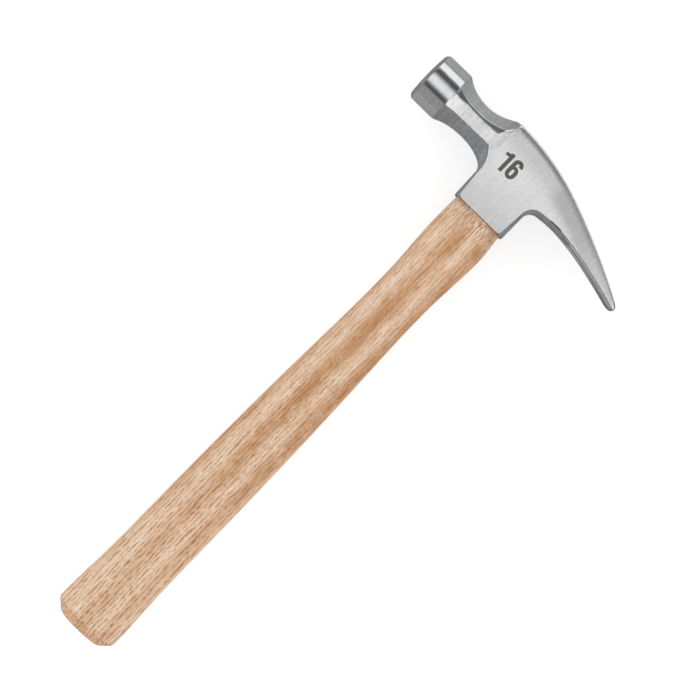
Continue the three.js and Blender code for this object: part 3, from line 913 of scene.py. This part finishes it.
def poll_ribs():
    """The striking face, its rim and the poll, as circles."""
    profile = [
        point(-FACE_REACH, 0),
        point(-FACE_REACH, FACE_FLAT_RADIUS),
        point(-RIM_REACH, POLL_RADIUS - RIM_CHAMFER),
        point(-RIM_REACH + RIM_CHAMFER, POLL_RADIUS),
        point(-POLL_END_REACH, POLL_RADIUS),
    ]
    line = softened(profile, POLL_SOFTNESS, POLL_STEPS, POLL_CORNER_STEPS)
    ribs = []
    for p in line:
        zone = "rim" if -RIM_REACH < p.x <= RIM_CHAMFER - RIM_REACH else "poll"
        ribs.append(make_rib(point(p.x, -p.y), point(p.x, p.y), octagon(p.y, 1), zone))
    return ribs


def inward(ribs, i, side, turn):
    """The way into the metal from the outline at a rib, as long as a mitred bevel of width 1."""
    here = ribs[i][side]
    before = here - ribs[max(i - 1, 0)][side]
    after = ribs[min(i + 1, len(ribs) - 1)][side] - here
    ways = [way.normalized() for way in (before, after) if way.length > NO_LENGTH]
    tangent = sum(ways, point(0, 0)).normalized()
    mitre = tangent.dot(ways[-1]) if ways else 1
    return point(-turn * tangent.y, turn * tangent.x) / max(mitre, MITRE_LIMIT)


COLUMN_STEPS = [3, 5, 14, 6, 5, 3]
CORNER_STEPS = 5
CORNERS = {0: "wall corner", 1: "lower edge", 3: "upper edge"}
CORNER_RUNS = {"wall corner": 0, "lower edge": 2, "upper edge": 3}
HEAD_FINISHES = [BRUSHED, NECK_BRUSHED, POLISHED, GROUND, DARK_GROUND, PAINTED_LIGHT_GROUND, FORGED_AND_PAINTED_SHADE, PAINTED_SHADE_STEEL, DULL]


def facets(lower, flat, edge):
    """A zone's finishes, in the order of the cross-section's runs."""
    return [lower, lower, flat, edge, GROUND, GROUND]


ZONE_FINISHES = {
    "poll": [POLISHED] * len(COLUMN_STEPS),
    "rim": [DULL] * len(COLUMN_STEPS),
    "neck": facets(DARK_GROUND, NECK_BRUSHED, POLISHED),
    # Painted shade on the rear neck's slanted upper edge
    "rear neck": facets(DARK_GROUND, NECK_BRUSHED, PAINTED_SHADE_STEEL),
    "throat": facets(DARK_GROUND, NECK_BRUSHED, POLISHED),
    "skirt front": facets(GROUND, BRUSHED, BRUSHED),
    "skirt": facets(DARK_GROUND, BRUSHED, BRUSHED),
    "notch": facets(DARK_GROUND, BRUSHED, BRUSHED),
    "tine root": facets(GROUND, BRUSHED, BRUSHED),
    # Painted light on the tines' walls and lower bevels
    "tine": facets(PAINTED_LIGHT_GROUND, BRUSHED, BRUSHED),
}
# Corners with finishes of their own: the dark steel along the throat's and notch's lower edges and along the
# tines' wall corners is painted shade, a dark line where shade falls in the crease
CORNER_FINISHES = {
    ("rear neck", "upper edge"): POLISHED,
    ("throat", "lower edge"): FORGED_AND_PAINTED_SHADE,
    ("notch", "lower edge"): FORGED_AND_PAINTED_SHADE,
    ("tine root", "wall corner"): FORGED_AND_PAINTED_SHADE,
    ("tine", "wall corner"): FORGED_AND_PAINTED_SHADE,
    ("tine", "lower edge"): GROUND,
}


def crowned(p, low_in, high_in, section):
    """A point of a rib, drawn towards the middle plane where the cheek sags or slopes to its edge."""
    width = (high_in - low_in).length
    drop = CHEEK_SAG * (max(CHEEK_RIDGE - p.y, 0) / (CHEEK_RIDGE + SKIRT_DEPTH)) ** 2
    if width:
        along = (p.to_2d() - low_in).dot(high_in - low_in) / width
        to_edge = max(width - along, 0)
        past_crease = max(CREASE_REACH - to_edge, 0)
        bend = min(past_crease, CREASE_SOFTNESS)
        drop += section["tilt"] * (past_crease - bend + bend ** 2 / (2 * CREASE_SOFTNESS))
        drop += section["edge_roll"] * max(1 - to_edge / EDGE_ROLL_REACH, 0) ** 2
    drop *= 1 - section["rounded"]
    return Vector((p.x, p.y, p.z * (1 - drop / section["half"]))) if section["half"] else p


def rib_row(rib, low_way, high_way):
    """The points of one rib, from the middle of its lower edge over the cheek to its upper edge."""
    low, high, flat, section = (rib[key] for key in ("low", "high", "flat", "section"))
    upright = (high - low).normalized()
    low_in = flat if flat else low + low_way.lerp(upright, section["level"]) * section["lower_bevel"]
    high_in = high + high_way.lerp(-upright, section["level"]) * section["upper_bevel"]
    slot_low = section["slot"] * (1 + SLOT_FLARE / SLOT_MOUTH)
    edge, depth = edge_at(high.x)
    shrink = min(EDGE_SHARE * (high_in - low_in).length / edge, 1)
    edge_in = high_in + (low_in - high_in).normalized() * edge * shrink
    sink = depth * shrink
    half = section["half"]
    corners = [
        Vector((p.x, p.y, height))
        for p, height in [
            (low, slot_low),
            (low, section["lower_wall"]),
            (low_in, half),
            (edge_in, half),
            (high_in, half - sink),
            (high, section["upper_wall"] - sink),
            (high, section["slot"]),
        ]
    ]
    softness = [section[name] for name in ("wall_soft", "lower_soft", "edge_soft", "upper_soft", "wall_soft")]
    line = softened(corners, softness, COLUMN_STEPS, CORNER_STEPS)
    row = [crowned(p, low_in, high_in, section) for p in line]
    centre = ((low + high) / 2).to_3d()
    radius = (high.y - low.y) / 2
    return [p.lerp(centre + (p - centre).normalized() * radius, section["rounded"]) for p in row]


def strip_runs():
    """The run of the cross-section that each strip between neighbouring columns belongs to."""
    runs = []
    for run, steps in enumerate(COLUMN_STEPS):
        runs += [run] * steps
        if run + 1 < len(COLUMN_STEPS):
            runs += [CORNERS.get(run, run)] * CORNER_STEPS
    return runs


def finish_of(zone, run):
    if (zone, run) in CORNER_FINISHES:
        return CORNER_FINISHES[zone, run]
    return ZONE_FINISHES[zone][CORNER_RUNS.get(run, run)]


def make_head():
    ribs = head_ribs()
    rows = [
        rib_row(rib, inward(ribs, i, "low", 1), inward(ribs, i, "high", -1))
        for i, rib in enumerate(ribs)
    ]
    count = len(rows[0])
    strips = strip_runs()
    slot_start = next(i for i, rib in enumerate(ribs) if rib["section"]["slot"] > 0)
    points = []
    faces = []
    finish = []
    for side in (1, -1):
        base = len(points)
        points += [Vector((p.x, p.y, side * p.z)) for row in rows for p in row]
        for i in range(1, len(rows)):
            for k in range(count - 1):
                a = base + (i - 1) * count + k
                faces.append((a, a + count, a + count + 1, a + 1)[::side])
                finish.append(finish_of(ribs[i]["zone"], strips[k]))
            if i >= slot_start:
                a = base + (i - 1) * count
                faces.append((a + count - 1, a + 2 * count - 1, a + count, a)[::side])
                finish.append(FORGED_AND_PAINTED_SHADE)
        last = base + (len(rows) - 1) * count
        faces.append(tuple(range(last, last + count))[::-side])
        finish.append(GROUND)
    shift = Vector((AXIS_X, POLL_Y, MIDDLE_Z))
    slots = [HEAD_FINISHES.index(material) for material in finish]
    head = mesh_piece("hammer_head", [p + shift for p in points], faces, HEAD_FINISHES, slots)
    carve(head, make_eye())
    smooth(head, HEAD_SHARP_ANGLE)
    return head


# Eye
def oval(height, half_width, half_thickness, roundness, centre=0):
    """A level ring between an ellipse (roundness 2) and a rectangle with round corners (higher)."""
    def bulge(value):
        return math.copysign(abs(value) ** (2 / roundness), value)
    angles = [2 * math.pi * i / HANDLE_SIDES for i in range(HANDLE_SIDES)]
    return [
        Vector((
            AXIS_X + centre + half_width * bulge(math.cos(angle)),
            BUTT_Y + height,
            MIDDLE_Z + half_thickness * bulge(math.sin(angle)),
        ))
        for angle in angles
    ]


def make_eye():
    """The cutter for the eye: narrowest at its waist, wider at both ends."""
    steps = 12
    sizes = [(SHOULDER_HEIGHT, 0)]
    for i in range(1, steps + 1):
        sizes.append((mix(EYE_MOUTH, EYE_WAIST, i / steps), EYE_TAPER * ease_out(i / steps)))
    for i in range(1, steps + 1):
        sizes.append((mix(EYE_WAIST, EYE_TOP, i / steps), EYE_TAPER - EYE_FLARE * ease_in(i / steps)))
    rings = [
        oval(height, EYE_HALF_WIDTH - inset, EYE_HALF_THICKNESS - inset, EYE_ROUNDNESS, EYE_CENTRE)
        for height, inset in sizes
    ]
    return tube("eye", rings, [FORGED_AND_PAINTED_SHADE])


# Handle
HANDLE_SIZES = {
    "Butt width": BUTT_WIDTH,
    "Butt thickness": 26,
    "Butt chamfer": 5.6,
    "Butt round": 1.6,
    "Butt dome": 0.55,
    "Flare height": 9,
    "Grip height": 62,
    "Grip width": 33.2,
    "Grip thickness": 24.4,
    "Waist height": 227.9,
    "Waist width": 27.2,
    "Waist thickness": 21,
    "Swell height": 266.9,
    "Swell width": 30.4,
    "Swell thickness": 23.6,
    "Shoulder height": SHOULDER_HEIGHT,
    "Shoulder step": 0.7,
    "Shoulder cheek step": 2.1,
    "Tenon width": 2 * (EYE_HALF_WIDTH - FIT_GAP),
    "Tenon thickness": 2 * (EYE_HALF_THICKNESS - FIT_GAP),
    "Tenon taper": EYE_TAPER,
    "Tenon flare": EYE_FLARE,
    "Tenon waist height": EYE_WAIST,
    "Tenon top height": EYE_TOP,
    "Tenon offset": EYE_CENTRE,
    "Axis X": AXIS_X,
    "Butt Y": BUTT_Y,
    "Middle Z": MIDDLE_Z,
}


# How far a run goes straight up as it leaves its start and as it arrives, as shares of its height
GRIP_RUN = (0.2, 0.6)
WAIST_RUN = (0.62, 0.22)
SWELL_RUN = (0.35, 0.3)
SHOULDER_RUN = (0.4, 0.1)
ROUND_SLANT = 0.7


def between_sizes(start, end, share):
    return [mix(a, b, share) for a, b in zip(start, end)]


def line_run(start, end):
    return start, between_sizes(start, end, 1 / 3), between_sizes(start, end, 2 / 3), end


def corner_run(start, corner, end):
    return start, between_sizes(start, corner, 2 / 3), between_sizes(end, corner, 2 / 3), end


def swelling_run(start, end, leave, arrive):
    """A run that leaves and arrives straight up, for these shares of its height."""
    out = [start[0], mix(start[1], end[1], leave), start[2]]
    back = [end[0], mix(end[1], start[1], arrive), end[2]]
    return start, out, back, end


def handle_runs(size):
    """Runs up the handle, each a cubic curve through half the width, the height and half the thickness."""
    def ring(name, height, inset=0):
        return [size[name + " width"] / 2 - inset, height, size[name + " thickness"] / 2 - inset]

    grip, middle, swell = (ring(name, size[name + " height"]) for name in ("Grip", "Waist", "Swell"))
    chamfer = size["Butt chamfer"]
    rounding = size["Butt round"]
    slant = rounding * ROUND_SLANT
    chamfer_start = ring("Butt", slant, chamfer - slant)
    chamfer_end = ring("Butt", chamfer - slant, slant)
    body = ring("Butt", chamfer + rounding)
    flare = ring("Butt", size["Flare height"])
    ledge = ring("Tenon", size["Shoulder height"])
    shoulder = [ledge[0] + size["Shoulder step"], ledge[1], ledge[2] + size["Shoulder cheek step"]]
    taper = size["Tenon taper"]
    waist = ring("Tenon", size["Tenon waist height"], taper)
    return [
        corner_run(ring("Butt", 0, chamfer + rounding), ring("Butt", 0, chamfer), chamfer_start),
        line_run(chamfer_start, chamfer_end),
        corner_run(chamfer_end, ring("Butt", chamfer), body),
        line_run(body, flare),
        swelling_run(flare, grip, *GRIP_RUN),
        swelling_run(grip, middle, *WAIST_RUN),
        swelling_run(middle, swell, *SWELL_RUN),
        swelling_run(swell, shoulder, *SHOULDER_RUN),
        line_run(shoulder, ledge),
        corner_run(ledge, ring("Tenon", size["Shoulder height"], taper), waist),
        line_run(waist, ring("Tenon", size["Tenon top height"], taper - size["Tenon flare"])),
    ]


def handle_tree():
    """Geometry nodes for the handle: a tube whose rings follow the runs, with oval sections."""
    group = bpy.data.node_groups.new("handle", "GeometryNodeTree")
    group.interface.new_socket("Geometry", in_out="OUTPUT", socket_type="NodeSocketGeometry")
    for name in HANDLE_SIZES:
        group.interface.new_socket(name, in_out="INPUT", socket_type="NodeSocketFloat")
    tree = Tree(group)
    source = tree.node("NodeGroupInput", {}, {}).socket.node
    size = {name: Value(tree, source.outputs[name]) for name in HANDLE_SIZES}
    runs = handle_runs(size)
    tube = tree.node(
        "GeometryNodeMeshCylinder",
        {"fill_type": "TRIANGLE_FAN"},
        {"Vertices": HANDLE_SIDES, "Side Segments": RINGS_A_RUN * len(runs), "Radius": 1, "Depth": len(runs)},
    )
    around, beside, up = tree.node("GeometryNodeInputPosition", {}, {}).parts()
    sizes = runs[0][0]
    for i, (start, out, back, end) in enumerate(runs):
        low = i - len(runs) / 2
        share = tree.node("ShaderNodeMapRange", {}, [up, low, low + 1])
        rest = 1 - share
        early = share * rest * rest * 3
        late = share * share * rest * 3
        whole = share * share * share
        gains = [
            (out[k] - start[k]) * early + (back[k] - start[k]) * late + (end[k] - start[k]) * whole
            for k in range(3)
        ]
        sizes = [total + gain for total, gain in zip(sizes, gains)]
    half_width, height, half_thickness = sizes
    neck = height.step(size["Swell height"], size["Shoulder height"])
    power = 2 / (HANDLE_ROUNDNESS + neck * (EYE_ROUNDNESS - HANDLE_ROUNDNESS))

    def bulge(value):
        return value.math("SIGN") * value.math("ABSOLUTE") ** power

    near_butt = 1 - height.step(0, size["Flare height"])
    place = tree.vector(
        size["Axis X"] + neck * size["Tenon offset"] + half_width * bulge(around),
        size["Butt Y"] + height + size["Butt dome"] * near_butt * around * around,
        size["Middle Z"] - half_thickness * bulge(beside),
    )
    shaped = tree.node("GeometryNodeSetPosition", {}, {"Geometry": tube, "Position": place})
    whole = tree.node("GeometryNodeRealizeInstances", {}, {"Geometry": shaped})
    finished = tree.node("GeometryNodeSetMaterial", {}, {"Geometry": whole, "Material": OAK})
    tree.node("NodeGroupOutput", {}, {"Geometry": finished})
    return group


def on_cheek_plane(x, y, z):
    """A point of the handle's outline in the plane of the cheeks."""
    return Vector((AXIS_X + x, BUTT_Y + y, MIDDLE_Z + z))


def on_wedge_plane(z, y, x):
    """A point of the wooden wedge's outline, seen along X."""
    return Vector((AXIS_X + EYE_CENTRE + x, BUTT_Y + y, MIDDLE_Z + z))


def above_the_end():
    """Everything above the sawn end of the handle, which follows the crown."""
    reach = EYE_HALF_WIDTH + SKIRT_WALL
    steps = 24
    outline = [(-reach, HEAD_HEIGHT + CROWN_RISE + reach)]
    for i in range(steps + 1):
        p = at_reach(UPPER_OUTLINE, mix(-reach, reach, i / steps))
        outline.append((p.x, HEAD_HEIGHT + p.y - END_RECESS))
    outline.append((reach, HEAD_HEIGHT + CROWN_RISE + reach))
    return prism(outline, -CHEEK_HALF, CHEEK_HALF, on_cheek_plane)


def wedge_slot(end_height, length, thickness, tip, centre, reach, place):
    """A cut in the tenon for a wedge, widening upward and swept to its reach on both sides."""
    foot = end_height - length - FIT_GAP
    top = end_height + CROWN_RISE
    half_foot = tip / 2 + FIT_GAP
    half_top = half_foot + (thickness - tip) / 2 / length * (top - foot)
    outline = [
        (centre - half_foot, foot),
        (centre + half_foot, foot),
        (centre + half_top, top),
        (centre - half_top, top),
    ]
    return prism(outline, -reach, reach, place)


def wedge_slots():
    """The saw cut that the wooden wedge is driven into, and the splits that the steel ones open across it."""
    end_height = HEAD_HEIGHT + at_reach(UPPER_OUTLINE, EYE_CENTRE).y - END_RECESS
    wood = WOOD_WEDGE_LENGTH, WOOD_WEDGE_THICKNESS, WOOD_WEDGE_TIP
    barbs = 2 * STEEL_WEDGE_BARB
    steel_sizes = STEEL_WEDGE_LENGTH, STEEL_WEDGE_THICKNESS + barbs, STEEL_WEDGE_TIP + barbs
    reach = EYE_HALF_THICKNESS - EYE_TAPER - STEEL_WEDGE_MARGIN
    slots = [wedge_slot(end_height, *wood, 0, BUTT_WIDTH, on_wedge_plane)]
    for side in (-1, 1):
        centre = EYE_CENTRE + side * STEEL_WEDGE_SPACING / 2
        slots.append(wedge_slot(end_height, *steel_sizes, centre, reach, on_cheek_plane))
    return slots


def make_handle():
    handle = new_piece("oak_handle", bpy.data.meshes.new("oak_handle"))
    shape = handle.modifiers.new("shape", "NODES")
    shape.node_group = handle_tree()
    for socket in shape.node_group.interface.items_tree:
        if socket.in_out == "INPUT":
            shape[socket.identifier] = HANDLE_SIZES[socket.name] * MM
    settle(handle)
    carve(handle, *wedge_slots(), above_the_end())
    handle.data.materials.clear()
    handle.data.materials.append(OAK)
    smooth(handle, HANDLE_SHARP_ANGLE)
    return handle


# Numeral
def arc(centre_x, centre_y, half_width, half_height, start, end):
    """Points along part of an ellipse, by angles in degrees."""
    steps = 16
    angles = [math.radians(mix(start, end, i / steps)) for i in range(steps + 1)]
    return [(centre_x + half_width * math.cos(a), centre_y + half_height * math.sin(a)) for a in angles]


def six_outlines():
    """The six's outer edge, from its upper terminal round to its bowl, and the hole in its bowl."""
    half = SIX_WIDTH / 2
    hole = half - NUMERAL_STROKE
    hole_half = hole + SIX_HOLE_STRETCH
    centre = SIX_LEFT + half
    right = SIX_LEFT + SIX_WIDTH
    top = NUMERAL_HEIGHT - half
    bowl_top = SIX_BOWL - half
    outer = arc(centre, top, half, half, 0, 180)
    outer += arc(centre, half, half, half, 180, 360)
    outer += arc(centre, bowl_top, half, half, 0, SIX_BOWL_TURN)
    outer.append((SIX_LEFT + NUMERAL_STROKE, SIX_JOINT))
    outer += arc(centre, top, hole, hole, 180, 0)
    outer += [(right - NUMERAL_STROKE, SIX_TERMINAL), (right, SIX_TERMINAL)]
    inner = arc(centre, bowl_top, hole, hole_half, 0, 180) + arc(centre, half, hole, hole_half, 180, 360)
    return outer, inner


def make_numeral(head):
    """A plain 16 for the head's weight in ounces, as a thin mesh on the upper cheek."""
    drawing = bpy.data.curves.new("numeral", "CURVE")
    drawing.dimensions = "2D"
    drawing.fill_mode = "FRONT"
    for outline in (ONE_OUTLINE, *six_outlines()):
        spline = drawing.splines.new("POLY")
        spline.points.add(len(outline) - 1)
        spline.use_cyclic_u = True
        for place, (x, y) in zip(spline.points, outline):
            place.co = (x, y, 0, 1)
    drawn = new_piece("numeral_drawing", drawing)
    mesh = plain_mesh(drawn)
    bpy.data.objects.remove(drawn)
    work = bmesh.new()
    work.from_mesh(mesh)
    bmesh.ops.subdivide_edges(work, edges=work.edges, cuts=NUMERAL_CUTS, use_grid_fill=True)
    work.to_mesh(mesh)
    work.free()
    corner = Vector((AXIS_X + NUMERAL_LEFT, POLL_Y + NUMERAL_FOOT, MIDDLE_Z + 2 * CHEEK_HALF))
    for v in mesh.vertices:
        _, v.co, _, _ = head.ray_cast((corner + v.co) * MM, Vector((0, 0, -1)))
    numeral = new_piece("weight_numeral", mesh)
    mesh.materials.clear()
    mesh.materials.append(INK)
    thick = numeral.modifiers.new("depth", "SOLIDIFY")
    thick.thickness = NUMERAL_DEPTH * MM
    thick.offset = 1
    settle(numeral)
    return numeral


# Studio: the camera's sizes and place in millimetres, and its turn in degrees
SENSOR_WIDTH = 36
LENS = 188.06
CAMERA_PLACE = (-5.91, 26.69, 1814.2)
CAMERA_TURN = 44.23


def make_camera():
    view = bpy.data.cameras.new("camera")
    view.sensor_width = SENSOR_WIDTH
    view.lens = LENS
    camera = new_piece("camera", view)
    camera.location = Vector(CAMERA_PLACE) * MM
    camera.rotation_euler = (0, 0, math.radians(CAMERA_TURN))
    bpy.context.scene.camera = camera


def ray_kinds(tree):
    """1 for the camera's rays, and 1 for rays that come by way of a reflection or through glass."""
    ray = tree.node("ShaderNodeLightPath", {}, {}).socket.node.outputs
    camera, gloss, through = (
        Value(tree, ray[name]) for name in ("Is Camera Ray", "Is Glossy Ray", "Is Transmission Ray")
    )
    return camera, gloss + through


# Floor: half its side, its grey, the light that lifts it to white, and reflections' share of that light
FLOOR_HALF = 4000
FLOOR_TONE = 0.5
FLOOR_LIFT = 0.68
GLOSS_SHARE = 0.05


def make_floor():
    """A pale floor that the camera sees as white, with the hammer's shadow on it."""
    corners = [(-1, -1), (1, -1), (1, 1), (-1, 1)]
    points = [Vector((x * FLOOR_HALF, y * FLOOR_HALF, 0)) for x, y in corners]
    material, tree, shader = new_material("studio_floor")
    camera, reflected = ray_kinds(tree)
    shown = camera + reflected * GLOSS_SHARE
    matt = tree.node("ShaderNodeBsdfDiffuse", {}, {"Color": (FLOOR_TONE, FLOOR_TONE, FLOOR_TONE, 1)})
    lift = tree.node("ShaderNodeEmission", {}, {"Strength": shown * FLOOR_LIFT})
    both = tree.node("ShaderNodeAddShader", {}, [matt, lift])
    output = material.node_tree.nodes["Material Output"]
    tree.nodes.links.new(both.socket, output.inputs["Surface"])
    floor = mesh_piece("floor", points, [(0, 1, 2, 3)], [material])


# Panels that steel reflects. Angles are in degrees from straight up towards +Y, reaches are along X and Y
# from -1 to 1, and each pair says where a slope begins and where it ends
OVERHEAD_START = (-30, -10)
OVERHEAD_END = (6, 30)
OVERHEAD_SIDES = (0.3, 0.8)
OVERHEAD_SIDE_GAIN = 0.5
OVERHEAD_LEVEL = 1.1
STRIP_START = (46, 53)
STRIP_END = (82, 86)
STRIP_RIGHT = (0.4, 0.75)
STRIP_LEFT = (0.8, 0.88)
STRIP_LEVEL = 1.24
FRONT_END = (-52, -44)
FRONT_LEVEL = 0.31
SIDE_REACH = (0.4, 0.7)
SIDE_START = (48, 58)
SIDE_LEVEL = 0.4
END_WALL_REACH = (0.84, 0.92)
END_WALL_FRONT = (-0.1, 0.1)
END_WALL_LEVEL = 0.9
GAP_LEVEL = 0.1
# Light on surfaces that aren't glossy: its level from the side, and how much less of it comes from above
SOFT_LEVEL = 2.4
SOFT_FALL = 2.1


def make_world():
    """Even white light, and for steel a studio of panels: bright overhead, a strip behind, dark gaps."""
    world = bpy.data.worlds.new("studio")
    bpy.context.scene.world = world
    world.use_nodes = True
    world.cycles.sampling_method = "NONE"
    tree = Tree(world.node_tree)
    x, y, z = tree.node("ShaderNodeTexCoord", {}, {}, output="Generated").parts()
    angle = y.math("ARCTAN2", z) * (180 / math.pi)
    left = 0 - x
    brighter_sides = 1 + x.math("ABSOLUTE").step(*OVERHEAD_SIDES) * OVERHEAD_SIDE_GAIN
    overhead = angle.step(*OVERHEAD_START) * (1 - angle.step(*OVERHEAD_END)) * brighter_sides
    low_end = (1 - angle.step(*STRIP_END)) * (1 - x.step(*STRIP_RIGHT)) * (1 - left.step(*STRIP_LEFT))
    strip = angle.step(*STRIP_START) * low_end
    front = 1 - angle.step(*FRONT_END)
    side = x.step(*SIDE_REACH) * angle.step(*SIDE_START)
    ends = left.step(*END_WALL_REACH)
    end_walls = GAP_LEVEL + (1 - y.step(*END_WALL_FRONT)) * END_WALL_LEVEL
    behind = strip * STRIP_LEVEL + side * SIDE_LEVEL
    panels = GAP_LEVEL + overhead * OVERHEAD_LEVEL + front * FRONT_LEVEL + behind
    panels = panels * (1 - ends) + ends * end_walls
    camera, reflected = ray_kinds(tree)
    soft = SOFT_LEVEL - z * SOFT_FALL
    level = camera + reflected * panels + (1 - camera - reflected) * soft
    background = world.node_tree.nodes["Background"]
    tree.nodes.links.new(level.socket, background.inputs["Strength"])
    background.inputs["Color"].default_value = (1, 1, 1, 1)


bpy.context.scene.view_settings.view_transform = "Standard"
make_camera()
make_world()
make_floor()

head = make_head()
handle = make_handle()
numeral = make_numeral(head)
for piece, node, slot in [(head, "head", "head_steel"), (handle, "handle", "handle_oak")]:
    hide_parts(node)
    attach(piece, "root")
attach(numeral, "root")
for node, material in [("wood_wedge", WEDGE_WOOD), ("steel_wedge_front", DULL), ("steel_wedge_rear", DULL)]:
    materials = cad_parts[node].data.materials
    materials.clear()
    materials.append(material)
